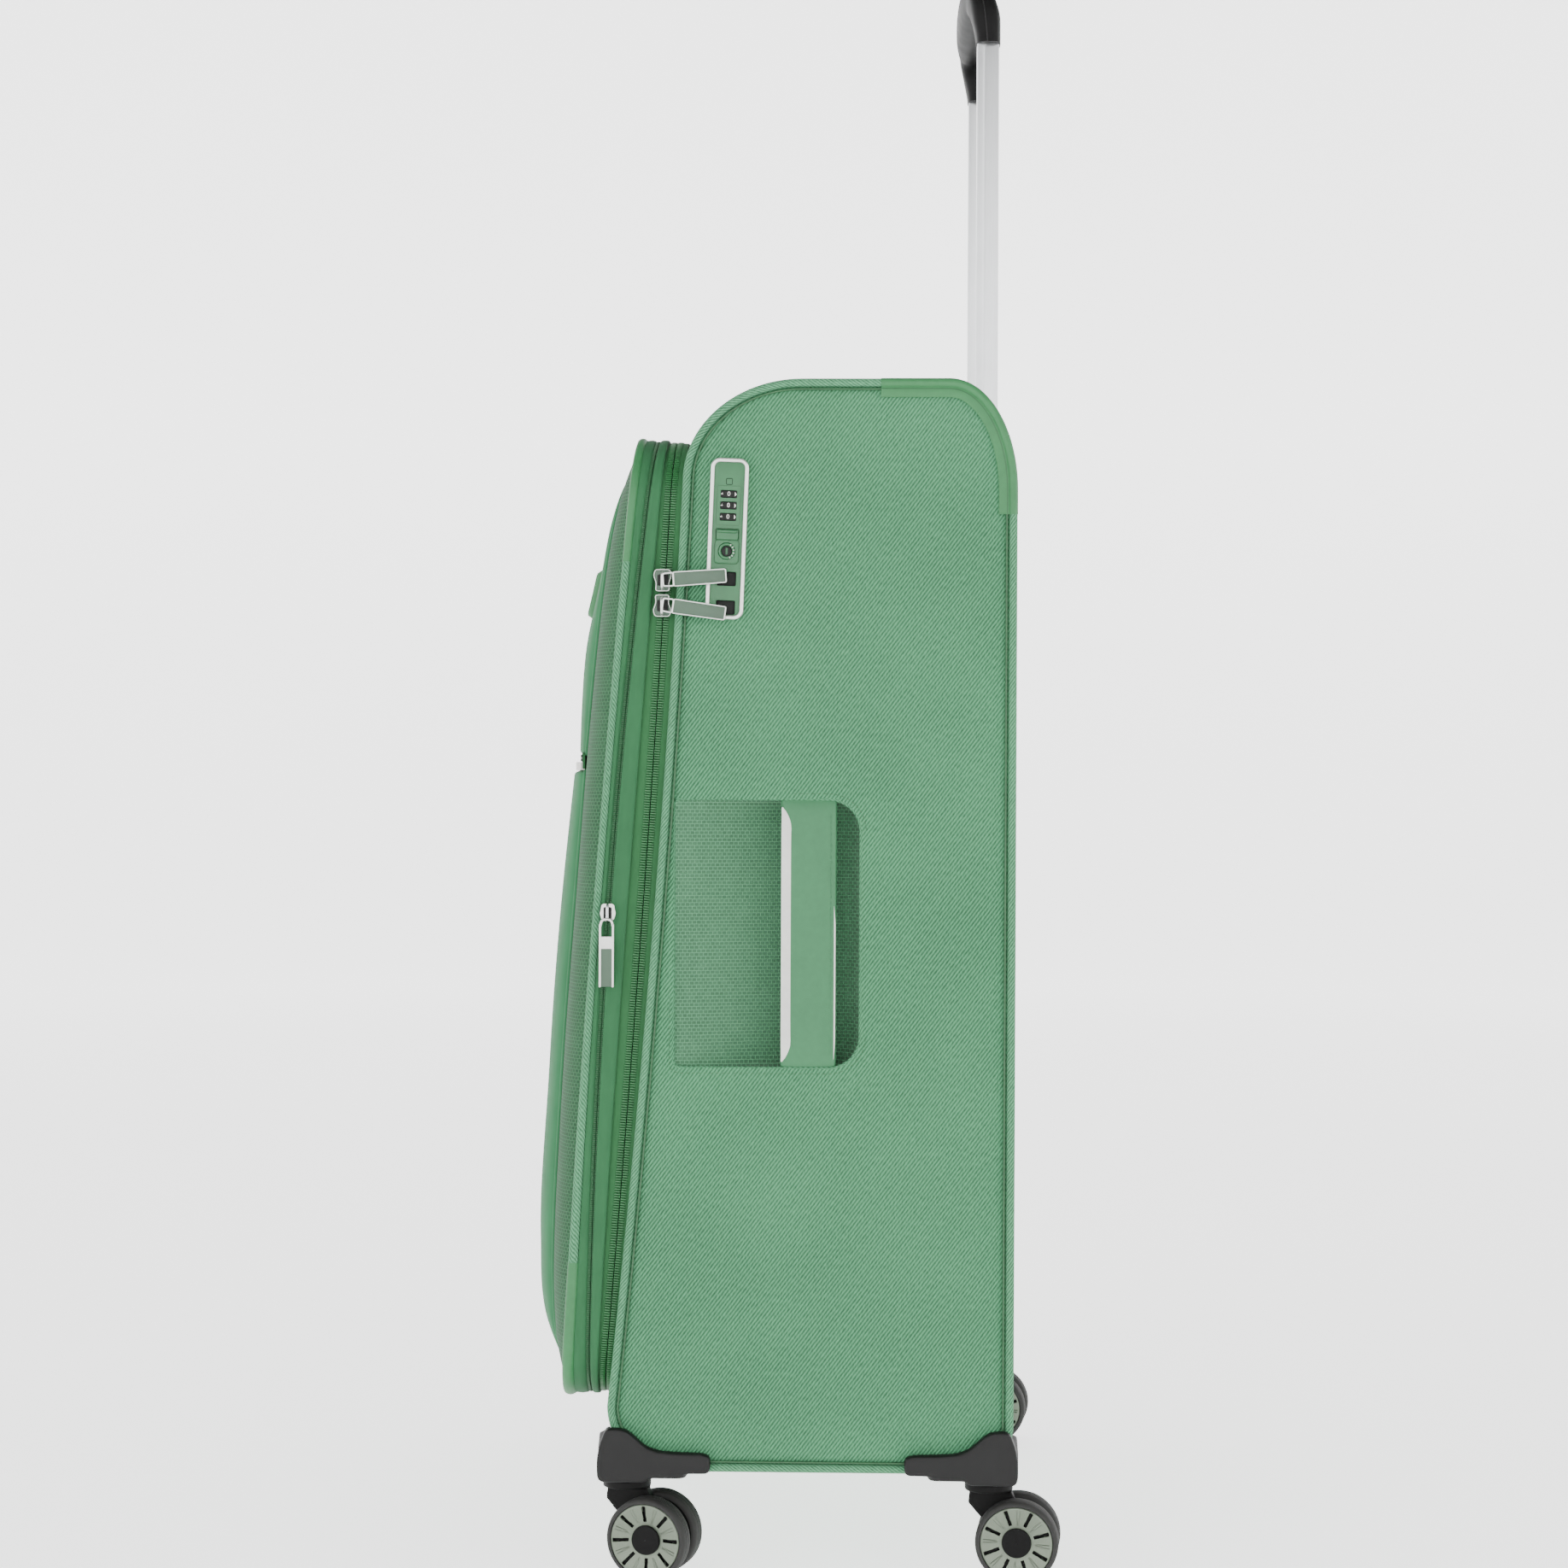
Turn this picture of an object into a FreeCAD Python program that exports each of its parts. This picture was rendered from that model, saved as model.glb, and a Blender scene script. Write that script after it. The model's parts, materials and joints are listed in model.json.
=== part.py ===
"""Soft-sided four-wheel suitcase with an extending handle, as one parametric document.

Frame: +Z up with the floor at 0, -Y towards the lid, +Y towards the handle tubes,
+X towards the side that carries the lock and the side handle. Millimetres.
"""
import FreeCAD, Part
import Sketcher
import math
import os
import re
from FreeCAD import Placement, Rotation, Vector

# ---------------------------------------------------------------- driving dimensions
DIMENSIONS = [
    # body box
    ("body_half", 230.0, "half width of the fabric body"),
    ("body_back", 139.0, "rear face of the body"),
    ("body_top", 769.0, "top of the body"),
    ("body_bottom", 71.5, "underside of the body"),
    ("wall", 4.0, "fabric, foam and board together"),
    ("shoulder_y", 75.0, "front shoulder, half axis along Y"),
    ("shoulder_z", 64.0, "front shoulder, half axis along Z"),
    ("heel_y", 42.0, "top rear corner, half axis along Y"),
    ("heel_z", 70.0, "top rear corner, half axis along Z"),
    ("toe_radius", 40.0, "bottom front corner"),
    ("sole_radius", 30.0, "bottom rear corner"),
    # front face of the body, and the seams of the lid in front of it, at three heights
    ("z_high", 740.0, "height where the seam curves start"),
    ("z_middle", 433.0, "height of the middle of the seam curves"),
    ("z_low", 105.0, "height where the seam curves end"),
    ("face_high", -72.3, "front face of the body at the shoulder"),
    ("face_middle", -89.3, "front face of the body at mid height"),
    ("face_low", -118.3, "front face of the body at the toe"),
    ("coil_high", -79.3, "main zipper, high"),
    ("coil_middle", -98.3, "main zipper, middle"),
    ("coil_low", -123.8, "main zipper, low"),
    ("expander_high", -90.3, "expansion zipper, high"),
    ("expander_middle", -120.0, "expansion zipper, middle"),
    ("expander_low", -132.3, "expansion zipper, low"),
    ("hem_high", -98.8, "rear seam of the lid piping, high"),
    ("hem_middle", -125.1, "rear seam of the lid piping, middle"),
    ("hem_low", -143.3, "rear seam of the lid piping, low"),
    ("rim_high", -104.8, "front of the lid piping, high"),
    ("rim_middle", -130.3, "front of the lid piping, middle"),
    ("rim_low", -151.3, "front of the lid piping, low"),
    ("seam_gap", 0.2, "half of the gap at a zipper"),
    # lid outline seen from the front
    ("lid_half", 227.0, "half width of the lid"),
    ("lid_top", 735.0, "top of the lid"),
    ("lid_bottom", 112.0, "bottom of the lid"),
    ("lid_corner", 45.0, "corner radius of the lid"),
    ("lid_wall", 3.0, "lid gusset wall"),
    ("piping", 5.5, "width of the piping"),
    ("piping_proud", 1.5, "how far piping stands out of the fabric"),
    ("pocket_half", 178.0, "half width of the front pockets"),
    ("pad_depth", 10.0, "padding of the lid panel in front of the rim"),
    ("pocket_split", 522.0, "height of the seam between the pockets"),
    # trolley
    ("tube_x", 92.5, "handle tube from the middle"),
    ("tube_y", 125.2, "handle tube centre at the back"),
    ("tube_top", 1016.0, "top of the inner tubes, handle out"),
    ("tube_bottom", 430.0, "bottom of the inner tubes, handle out"),
    ("tube_depth", 15.0, "inner tube, along Y"),
    ("tube_reach", 10.0, "inner tube, half width along X"),
    ("tube_wall", 1.4, "tube wall"),
    ("tube_play", 0.5, "gap between inner and outer tube"),
    ("sleeve_foot", 105.0, "bottom of the outer tubes"),
    ("dock_floor", 711.0, "floor of the grip dock"),
    ("grip_top", 1068.0, "top of the grip, handle out"),
    ("grip_bottom", 1012.0, "bottom of the grip legs, handle out"),
    ("grip_half", 106.0, "half width of the grip"),
    ("grip_front", 106.5, "front of the grip bar"),
    ("grip_back", 133.9, "back of the grip"),
    ("button_half", 22.0, "half width of the grip button"),
    # casters
    ("wheel_radius", 26.7, "wheel radius"),
    ("wheel_inner", 4.6, "inner face of a wheel from the fork centre"),
    ("wheel_width", 14.4, "width of one wheel"),
    ("tyre_depth", 3.4, "tyre thickness"),
    ("axle_radius", 3.0, "wheel axle"),
    ("axle_play", 0.05, "running clearance on the axle"),
    ("trail", 19.0, "axle behind the swivel"),
    ("swivel_x", 212.0, "swivel axis from the middle"),
    ("swivel_front", -108.0, "front swivel axis"),
    ("swivel_rear", 125.5, "rear swivel axis"),
    ("front_turn", 16.0, "rest angle of the front casters"),
    ("rear_turn", 6.0, "rest angle of the right rear caster"),
    ("rear_left_turn", 8.0, "rest angle of the left rear caster"),
    ("cup_radius", 19.0, "caster cup"),
    ("cup_bottom", 62.5, "underside of the caster cup"),
    ("skirt_half", 238.0, "outer face of the corner skirt"),
    ("skirt_low", 81.8, "top of the skirt along the case"),
    ("skirt_high", 96.0, "top of the skirt at the corner"),
    ("skirt_arm", 70.0, "length of the skirt from the corner"),
    # side and top handles
    ("side_low", 329.5, "bottom of the side handle recess"),
    ("side_high", 501.0, "top of the side handle recess"),
    ("side_front", -78.0, "front of the side handle recess"),
    ("side_rear", 41.0, "rear of the side handle recess"),
    ("side_depth", 24.0, "depth of the side handle recess"),
    ("strap_front", -9.7, "front edge of the side strap"),
    ("strap_rear", 26.4, "rear edge of the side strap"),
    ("strap_thick", 5.0, "strap thickness"),
    # lock
    ("lock_y", -44.9, "lock centre"),
    ("lock_z", 667.5, "lock centre"),
    ("lock_lean", 2.1, "lean of the lock"),
    ("lock_wide", 24.6, "lock width"),
    ("lock_tall", 103.0, "lock height"),
    ("lock_corner", 6.0, "lock corner radius"),
    ("lock_proud", 6.0, "lock bezel stands out of the fabric"),
    ("lock_deep", 18.0, "lock case goes inside the body"),
    ("dial_radius", 8.0, "dial radius"),
    ("dial_thick", 4.4, "dial thickness"),
    ("dial_pitch", 7.3, "dial spacing"),
]
ALIASES = {alias for alias, value, note in DIMENSIONS}

doc = FreeCAD.newDocument("Suitcase")
sheet = doc.addObject("Spreadsheet::Sheet", "Dims")
for row, (alias, value, note) in enumerate(DIMENSIONS, start=1):
    sheet.set(f"A{row}", note)
    sheet.set(f"B{row}", str(value))
    sheet.setAlias(f"B{row}", alias)
doc.recompute()

nodes = []


def dim(alias):
    """A sheet value as a plain number."""
    return float(getattr(sheet, alias))


def bound(text):
    """Turn the aliases in an expression into references to the sheet."""
    return re.sub(r"[a-z][a-z_]+", lambda m: f"Dims.{m[0]}" if m[0] in ALIASES else m[0], text)


def node(item, label):
    """Register a finished sub-part under the name of its file."""
    item.Label = label
    nodes.append(item)
    return item


def place(item, x="0", y="0", z="0", turn=None, axis=Vector(0, 0, 1)):
    """Bind an object's place, and its turn about an axis, to the sheet."""
    if turn is not None:
        item.Placement = Placement(Vector(), Rotation(axis, 1.0))
        item.setExpression("Placement.Rotation.Angle", bound(turn))
    for name, text in zip("xyz", (x, y, z)):
        item.setExpression(f"Placement.Base.{name}", bound(text))


# ---------------------------------------------------------------- builders
def make_box(name, length, width, height, x, y, z):
    item = doc.addObject("Part::Box", name)
    for prop, text in (("Length", length), ("Width", width), ("Height", height)):
        item.setExpression(prop, bound(text))
    place(item, x, y, z)
    return item


def make_cylinder(name, radius, height, x, y, z, axis=None):
    """A cylinder along Z, or along X or Y when an axis is named."""
    item = doc.addObject("Part::Cylinder", name)
    item.setExpression("Radius", bound(radius))
    item.setExpression("Height", bound(height))
    turns = {None: Rotation(), "x": Rotation(Vector(0, 1, 0), 90), "y": Rotation(Vector(1, 0, 0), -90)}
    item.Placement = Placement(Vector(), turns[axis])
    place(item, x, y, z)
    return item


def cut(name, base, *tools):
    """Base minus every tool, one Part::Cut each."""
    result = base
    for count, tool in enumerate(tools):
        step = doc.addObject("Part::Cut", name if count == len(tools) - 1 else f"{name}_step{count}")
        step.Base, step.Tool = result, tool
        result = step
    return result


def fuse(name, *parts):
    item = doc.addObject("Part::MultiFuse", name)
    item.Shapes = list(parts)
    return item


def feature(name, shape):
    """A shape made from curves that no primitive gives."""
    item = doc.addObject("Part::Feature", name)
    item.Shape = shape
    return item


def outline_body(name, role, corners):
    """A PartDesign body whose sketch corners are bound to the sheet."""
    body = doc.addObject("PartDesign::Body", name)
    sketch = body.newObject("Sketcher::SketchObject", name + "_sketch")
    plane = [part for part in body.Origin.OriginFeatures if part.Role == role][0]
    sketch.AttachmentSupport = (plane, [""])
    sketch.MapMode = "FlatFace"
    count = len(corners)
    ring = [Vector(9 * math.cos(math.tau * i / count), 9 * math.sin(math.tau * i / count), 0)
            for i in range(count)]
    for i in range(count):
        sketch.addGeometry(Part.LineSegment(ring[i], ring[(i + 1) % count]))
    for i, corner in enumerate(corners):
        sketch.addConstraint(Sketcher.Constraint("Coincident", i, 2, (i + 1) % count, 1))
        for kind, text in zip(("DistanceX", "DistanceY"), corner):
            index = sketch.addConstraint(Sketcher.Constraint(kind, -1, 1, i, 1, 1.0))
            sketch.setExpression(f"Constraints[{index}]", bound(text))
    doc.recompute()
    return body, sketch


def padded_body(name, role, corners, length, both_ways=False):
    body, sketch = outline_body(name, role, corners)
    pad = body.newObject("PartDesign::Pad", name + "_pad")
    pad.Profile = sketch
    pad.setExpression("Length", bound(length))
    if both_ways:
        pad.SideType = "Symmetric"
    body.Tip = pad
    return body


def turned_body(name, corners):
    """A body turned about the X axis from (axial, radial) corners."""
    body, sketch = outline_body(name, "XY_Plane", corners)
    turn = body.newObject("PartDesign::Revolution", name + "_turn")
    turn.Profile = sketch
    turn.ReferenceAxis = (sketch, ["H_Axis"])
    turn.Angle = 360
    body.Tip = turn
    return body


# ---------------------------------------------------------------- curves
def extruded(wire, start, length):
    """A solid from a closed wire in a YZ plane, extruded along X."""
    face = Part.Face(wire)
    face.translate(Vector(start, 0, 0))
    return face.extrude(Vector(length, 0, 0))


def arc(first, middle, last):
    return Part.Arc(Vector(*first), Vector(*middle), Vector(*last)).toShape()


def line(first, last):
    return Part.makeLine(Vector(*first), Vector(*last))


def quarter(center_y, center_z, half_y, half_z, side):
    """A quarter ellipse above its centre, in front of it (side -1) or behind it (side 1)."""
    major = max(half_y, half_z)
    minor = min(half_y, half_z)
    tall = half_z > half_y
    direction = Vector(0, 0, 1) if tall else Vector(0, side, 0)
    other = Vector(0, side, 0) if tall else Vector(0, 0, 1)
    center = Vector(0, center_y, center_z)
    curve = Part.Ellipse(center + direction * major, center + other * minor, center)
    return Part.ArcOfEllipse(curve, 0, math.pi / 2).toShape()


def side_profile(grow):
    """The side outline of the body, moved outward by grow."""
    back = dim("body_back") + grow
    top = dim("body_top") + grow
    bottom = dim("body_bottom") - grow
    heel_y = dim("body_back") - dim("heel_y")
    heel_z = dim("body_top") - dim("heel_z")
    shoulder_y = dim("face_high") + dim("shoulder_y")
    shoulder_z = dim("body_top") - dim("shoulder_z")
    high = (0, dim("face_high") - grow, shoulder_z)
    toe = dim("toe_radius") + grow
    toe_y = dim("face_low") + dim("toe_radius")
    toe_z = dim("body_bottom") + dim("toe_radius")
    low = (0, toe_y - toe, toe_z)
    sole = dim("sole_radius") + grow
    sole_y = dim("body_back") - dim("sole_radius")
    sole_z = dim("body_bottom") + dim("sole_radius")
    diagonal = math.sqrt(0.5)
    edges = [
        line((0, back, sole_z), (0, back, heel_z)),
        quarter(heel_y, heel_z, dim("heel_y") + grow, dim("heel_z") + grow, 1),
        line((0, heel_y, top), (0, shoulder_y, top)),
        quarter(shoulder_y, shoulder_z, dim("shoulder_y") + grow, dim("shoulder_z") + grow, -1),
        arc(high, (0, dim("face_middle") - grow, dim("z_middle")), low),
        arc(low, (0, toe_y - toe * diagonal, toe_z - toe * diagonal), (0, toe_y, bottom)),
        line((0, toe_y, bottom), (0, sole_y, bottom)),
        arc((0, sole_y, bottom), (0, sole_y + sole * diagonal, sole_z - sole * diagonal), (0, back, sole_z)),
    ]
    return Part.Wire(Part.__sortEdges__(edges))


def slab(rear, front, rear_shift=0.0, front_shift=0.0):
    """The space between two seam curves, right across the body."""
    heights = [("_high", "z_high"), ("_middle", "z_middle"), ("_low", "z_low")]
    back = [(0, dim(rear + at) + rear_shift, dim(z)) for at, z in heights]
    face = [(0, dim(front + at) + front_shift, dim(z)) for at, z in heights]
    edges = [arc(*back), line(back[2], face[2]), arc(*face), line(face[0], back[0])]
    return extruded(Part.Wire(Part.__sortEdges__(edges)), -300, 600)


def rounded_rectangle(left, right, bottom, top, radius):
    """A closed wire in the XZ plane."""
    diagonal = radius * (1 - math.sqrt(0.5))
    edges = []
    for x, z, sx, sz in ((left, bottom, 1, 1), (right, bottom, -1, 1), (right, top, -1, -1), (left, top, 1, -1)):
        ends = [(x, 0, z + sz * radius), (x + sx * diagonal, 0, z + sz * diagonal), (x + sx * radius, 0, z)]
        edges.append(arc(*ends))
    edges.append(line((left + radius, 0, bottom), (right - radius, 0, bottom)))
    edges.append(line((left + radius, 0, top), (right - radius, 0, top)))
    edges.append(line((left, 0, bottom + radius), (left, 0, top - radius)))
    edges.append(line((right, 0, bottom + radius), (right, 0, top - radius)))
    return Part.Wire(Part.__sortEdges__(edges))


def lid_prism(inset):
    """The lid's front outline, made smaller by inset, as a long bar along Y."""
    half = dim("lid_half") - inset
    wire = rounded_rectangle(-half, half, dim("lid_bottom") + inset, dim("lid_top") - inset,
                             dim("lid_corner") - inset)
    face = Part.Face(wire)
    face.translate(Vector(0, -200, 0))
    return face.extrude(Vector(0, 300, 0))


def lid_ring(inset, wall):
    return lid_prism(inset).cut(lid_prism(inset + wall))


# ---------------------------------------------------------------- body and its trims
BODY_OUTER = extruded(side_profile(0), -dim("body_half"), 2 * dim("body_half"))
LOCK_CENTER = Vector(0, dim("lock_y"), dim("lock_z"))
LOCK_TURN = Rotation(Vector(1, 0, 0), -dim("lock_lean"))
TOP_RECESS = (95.0, 14.0, 66.0, 22.0)     # half length, front, rear, depth
TRAY_WALL = 2.5


def side_recess_prism(grow):
    """The wedge behind the side handle: flush at the front, deep under the strap."""
    outside = dim("body_half") + 0.5
    floor = dim("body_half") - dim("side_depth") - grow
    front = dim("side_front") - grow
    rear = dim("side_rear") + grow
    corners = [(outside, front), (outside - 1.5 - grow, front), (floor, dim("strap_front")),
               (floor, rear - 4), (outside - 4, rear), (outside, rear)]
    face = Part.Face(Part.makePolygon([Vector(x, y, dim("side_low") - grow) for x, y in corners + corners[:1]]))
    return face.extrude(Vector(0, 0, dim("side_high") - dim("side_low") + 2 * grow))


def piping_rings(width_out, width_in, thick_in, thick_out):
    """Both rings of piping along the edges of the side panels."""
    rings = []
    for side in (-1, 1):
        start = side * (dim("body_half") + thick_out)
        length = -side * (thick_in + thick_out)
        ring = extruded(side_profile(width_out), start, length).cut(extruded(side_profile(-width_in), start, length))
        rings.append(ring)
    return rings


def dock_block(grow):
    """The outside of the grip dock at the top rear of the body."""
    half, front, rear = 113.0 + grow, 101.0 - grow, 137.0 + grow
    block = Part.makeBox(2 * half, rear - front, 100, Vector(-half, front, dim("dock_floor") - 5 - grow))
    return block.common(BODY_OUTER)


def build_body():
    wall = dim("wall")
    half = dim("body_half")
    inside = extruded(side_profile(-wall), -half + wall, 2 * (half - wall))
    reach, front, rear, depth = TOP_RECESS
    tray = Part.makeBox(2 * reach, rear - front, depth, Vector(-reach, front, dim("body_top") - depth + 0.01))
    tray_outer = Part.makeBox(2 * (reach + TRAY_WALL), rear - front + 2 * TRAY_WALL, depth + TRAY_WALL,
                              Vector(-reach - TRAY_WALL, front - TRAY_WALL, dim("body_top") - depth - TRAY_WALL))
    shell = BODY_OUTER.cut(inside.cut(tray_outer)).cut(tray)
    mouth = lid_prism(12).common(Part.makeBox(600, 170, 900, Vector(-300, -190, 0)))
    shell = shell.cut(mouth).cut(side_recess_prism(2.0)).cut(dock_block(0.0))
    lock_hole = Part.makeBox(60, 20, 98, Vector(half - 30, -10, -49))
    lock_hole.Placement = Placement(LOCK_CENTER, LOCK_TURN)
    shell = shell.cut(lock_hole)
    for ring in piping_rings(3, dim("piping") - 1.5, 3.5, 3):
        shell = shell.cut(ring)
    node(feature("body_shell", shell.removeSplitter()), "body_shell")
    rings = piping_rings(dim("piping_proud"), dim("piping") - 1.5, 3.5, dim("piping_proud"))
    node(feature("body_piping", Part.makeCompound(rings)), "body_piping")


def build_tag_pocket():
    corners = [("body_back", "100"), ("body_back + 1.5", "100"), ("body_back + 8.5", "145"),
               ("body_back + 8.5", "148"), ("body_back", "148")]
    pocket = padded_body("tag_pocket", "YZ_Plane", corners, "90", both_ways=True)
    node(pocket, "tag_pocket")


def build_handles():
    dish = side_recess_prism(2.0).cut(side_recess_prism(0.0))
    outside = Part.makeBox(10, 400, 900, Vector(dim("body_half"), -200, 0))
    node(feature("side_recess", dish.cut(outside)), "side_recess")
    strap = make_box("side_handle", "strap_thick", "strap_rear - strap_front", "side_high - side_low",
                     "body_half - 3", "strap_front", "side_low")
    node(strap, "side_handle")
    strap = make_box("top_handle", "190", "32", "strap_thick", "-95", "24", "body_top - 3.5")
    node(strap, "top_handle")


# ---------------------------------------------------------------- lid
def build_lid():
    gap = dim("seam_gap")
    ring = lid_ring(1, 2).common(slab("face", "coil", 25, gap)).cut(BODY_OUTER)
    node(feature("zipper_tape", ring), "zipper_tape")
    ring = lid_ring(0, dim("lid_wall")).common(slab("coil", "expander", -gap, gap))
    node(feature("zipper_ring", ring), "zipper_ring")
    ring = lid_ring(dim("lid_wall") + 0.5, 1.2).common(slab("coil", "hem", -4, 3))
    node(feature("expansion_gusset", ring), "expansion_gusset")
    ring = lid_ring(0, dim("lid_wall")).common(slab("expander", "hem", -gap, 0))
    node(feature("lid_gusset", ring), "lid_gusset")
    ring = lid_ring(-dim("piping_proud"), dim("piping")).common(slab("hem", "rim"))
    node(feature("lid_piping", ring), "lid_piping")
    inset = dim("piping") - dim("piping_proud")
    panel = lid_prism(inset).common(slab("hem", "rim"))
    depth = dim("pad_depth")
    pad = lid_prism(14).common(slab("rim", "rim", 0, -depth))
    node(feature("lid_panel", panel.fuse(pad).removeSplitter()), "lid_panel")


def pocket_solid(points, back_shift):
    """A pocket with a side outline of its own, lying on the pad of the lid panel."""
    wire = Part.Wire([arc(*points[i:i + 3]) for i in range(0, len(points) - 2, 2)]
                     + [line(points[-1], (0, 0, points[-1][2])), line((0, 0, points[-1][2]), (0, 0, points[0][2])),
                        line((0, 0, points[0][2]), points[0])])
    half = dim("pocket_half")
    block = extruded(wire, -half, 2 * half)
    behind = slab("rim", "rim", 300, -back_shift)
    return block.cut(behind)


def build_pockets():
    depth = dim("pad_depth")
    split = dim("pocket_split")
    upper = pocket_solid([(0, -116.5, 712), (0, -127, 676), (0, -132, 650),
                          (0, -143, 600), (0, -145.5, split + 3)], depth)
    node(feature("upper_pocket", upper), "upper_pocket")
    lower = pocket_solid([(0, -150, split - 3), (0, -166.8, 320), (0, -172.2, 210),
                          (0, -168.2, 160), (0, -156.5, 128)], depth)
    node(feature("lower_pocket", lower), "lower_pocket")


# ---------------------------------------------------------------- zipper sliders
SLIDERS = [("upper", "-86.3", "641.1", "4"), ("lower", "-86.5", "624.8", "-8")]


def build_sliders():
    for name, y, z, tilt in SLIDERS:
        slider = padded_body(f"slider_{name}", "YZ_Plane",
                             [("-4.5", "-7.2"), ("4.5", "-7.2"), ("6", "0"), ("4.5", "7.2"), ("-4.5", "7.2"), ("-6", "0")],
                             "9")
        place(slider, "lid_half + 0.5", y, z)
        node(slider, f"slider_{name}")
        puller = padded_body(f"puller_{name}", "YZ_Plane",
                             [("0", "-3.6"), ("6", "-5"), ("38", "-4.6"), ("38", "4.6"), ("6", "5"), ("0", "3.6")], "2")
        place(puller, "lid_half + 10", f"{y} + 3.5", z, tilt, Vector(1, 0, 0))
        node(puller, f"puller_{name}")
    slider = padded_body("expansion_slider", "YZ_Plane",
                         [("-3.2", "-6"), ("3.2", "-6"), ("4", "-1"), ("3.4", "6"), ("-3.4", "6"), ("-4", "-1")], "5.5")
    place(slider, "lid_half + 0.5", "-120.7", "428")
    node(slider, "expansion_slider")
    puller = padded_body("expansion_puller", "YZ_Plane",
                         [("-5", "-44"), ("5", "-44"), ("5", "-6"), ("3.6", "0"), ("-3.6", "0"), ("-5", "-6")], "2")
    place(puller, "lid_half + 6.4", "-121", "424")
    node(puller, "expansion_puller")


# ---------------------------------------------------------------- lock
LOCK_RIM = 2.7


def lock_place(item):
    place(item, "0", "lock_y", "lock_z", "lock_lean", Vector(-1, 0, 0))
    return item


def lock_box(name, x, size_x, y_half, z, z_half):
    return make_box(name, size_x, f"2 * ({y_half})", f"2 * ({z_half})", x, f"-({y_half})", f"{z} - ({z_half})")


def lock_outline(inset, thick):
    """The rounded front outline of the lock, made smaller by inset, as a plate."""
    half, tall = dim("lock_wide") / 2 - inset, dim("lock_tall") / 2 - inset
    face = Part.Face(rounded_rectangle(-half, half, -tall, tall, dim("lock_corner") - inset))
    face.rotate(Vector(), Vector(0, 0, 1), 90)
    face.translate(Vector(dim("body_half"), 0, 0))
    return face.extrude(Vector(thick, 0, 0))


def build_lock():
    plate = feature("lock_plate", lock_outline(LOCK_RIM, 4.5))
    case = lock_box("lock_inside", "body_half - lock_deep", "lock_deep", "9.5", "0", "48")
    dial_z = [f"21.2 + {step} * dial_pitch" for step in (1, 0, -1)]
    pockets = [make_cylinder(f"dial_pocket_{i}", "dial_radius + 0.35", "dial_thick + 0.7",
                             "body_half - 2.8", "0", f"{z} - dial_thick / 2 - 0.35")
               for i, z in enumerate(dial_z)]
    pockets.append(make_cylinder("key_bore", "5.5 + axle_play", "20", "body_half - 10", "0", "-8", "x"))
    pockets.append(lock_box("button_pocket", "body_half - 6.5", "20", "7.35", "2.6", "3.65"))
    for i, z in enumerate(("-25.6", "-43.9")):
        pockets.append(lock_box(f"tip_slot_{i}", "body_half + 1.5", "10", "6", z, "4.6"))
    hollow = cut("lock_hollow", fuse("lock_block", plate, case), *pockets)
    spindle = make_cylinder("dial_spindle", "1.5", "31.5", "body_half - 2.8", "0", "7")
    node(lock_place(fuse("lock_case", hollow, spindle)), "lock_case")

    bezel = lock_outline(0, dim("lock_proud")).cut(lock_outline(LOCK_RIM, dim("lock_proud")))
    node(lock_place(feature("lock_bezel", bezel)), "lock_bezel")

    for i, z in enumerate(dial_z):
        wheel = make_cylinder(f"dial_wheel_{i}", "dial_radius", "dial_thick", "body_half - 2.8", "0", f"{z} - dial_thick / 2")
        bore = make_cylinder(f"dial_bore_{i}", "1.5 + axle_play", "dial_thick + 2", "body_half - 2.8", "0",
                             f"{z} - dial_thick / 2 - 1")
        node(lock_place(cut(f"lock_dial_{i + 1}", wheel, bore)), f"lock_dial_{i + 1}")
    plug = make_cylinder("key_plug", "5.5", "15.2", "body_half - 9.9", "0", "-8", "x")
    slot = lock_box("key_slot", "body_half - 2", "9", "0.7", "-8", "2.8")
    node(lock_place(cut("lock_cylinder", plug, slot)), "lock_cylinder")
    button = lock_box("lock_button_block", "body_half - 4", "10.5", "7", "2.6", "3.3")
    node(lock_place(fuse("lock_button_solid", button, lock_box("lock_button_ridge", "body_half + 5", "1.8", "6", "4.9", "0.8"))),
         "lock_button")


# ---------------------------------------------------------------- trolley
def tube_corners(side):
    """The six-sided section of an inner tube, its ridge turned outward."""
    reach, deep = "tube_reach", "tube_depth / 2"
    corners = [(f"{side} * {reach}", "-2.5"), (f"{side} * 6", deep), (f"{-side} * 7", deep),
               (f"{-side} * {reach}", "2.5"), (f"{-side} * 6", f"-{deep}"), (f"{side} * 7", f"-{deep}")]
    return corners


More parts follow.
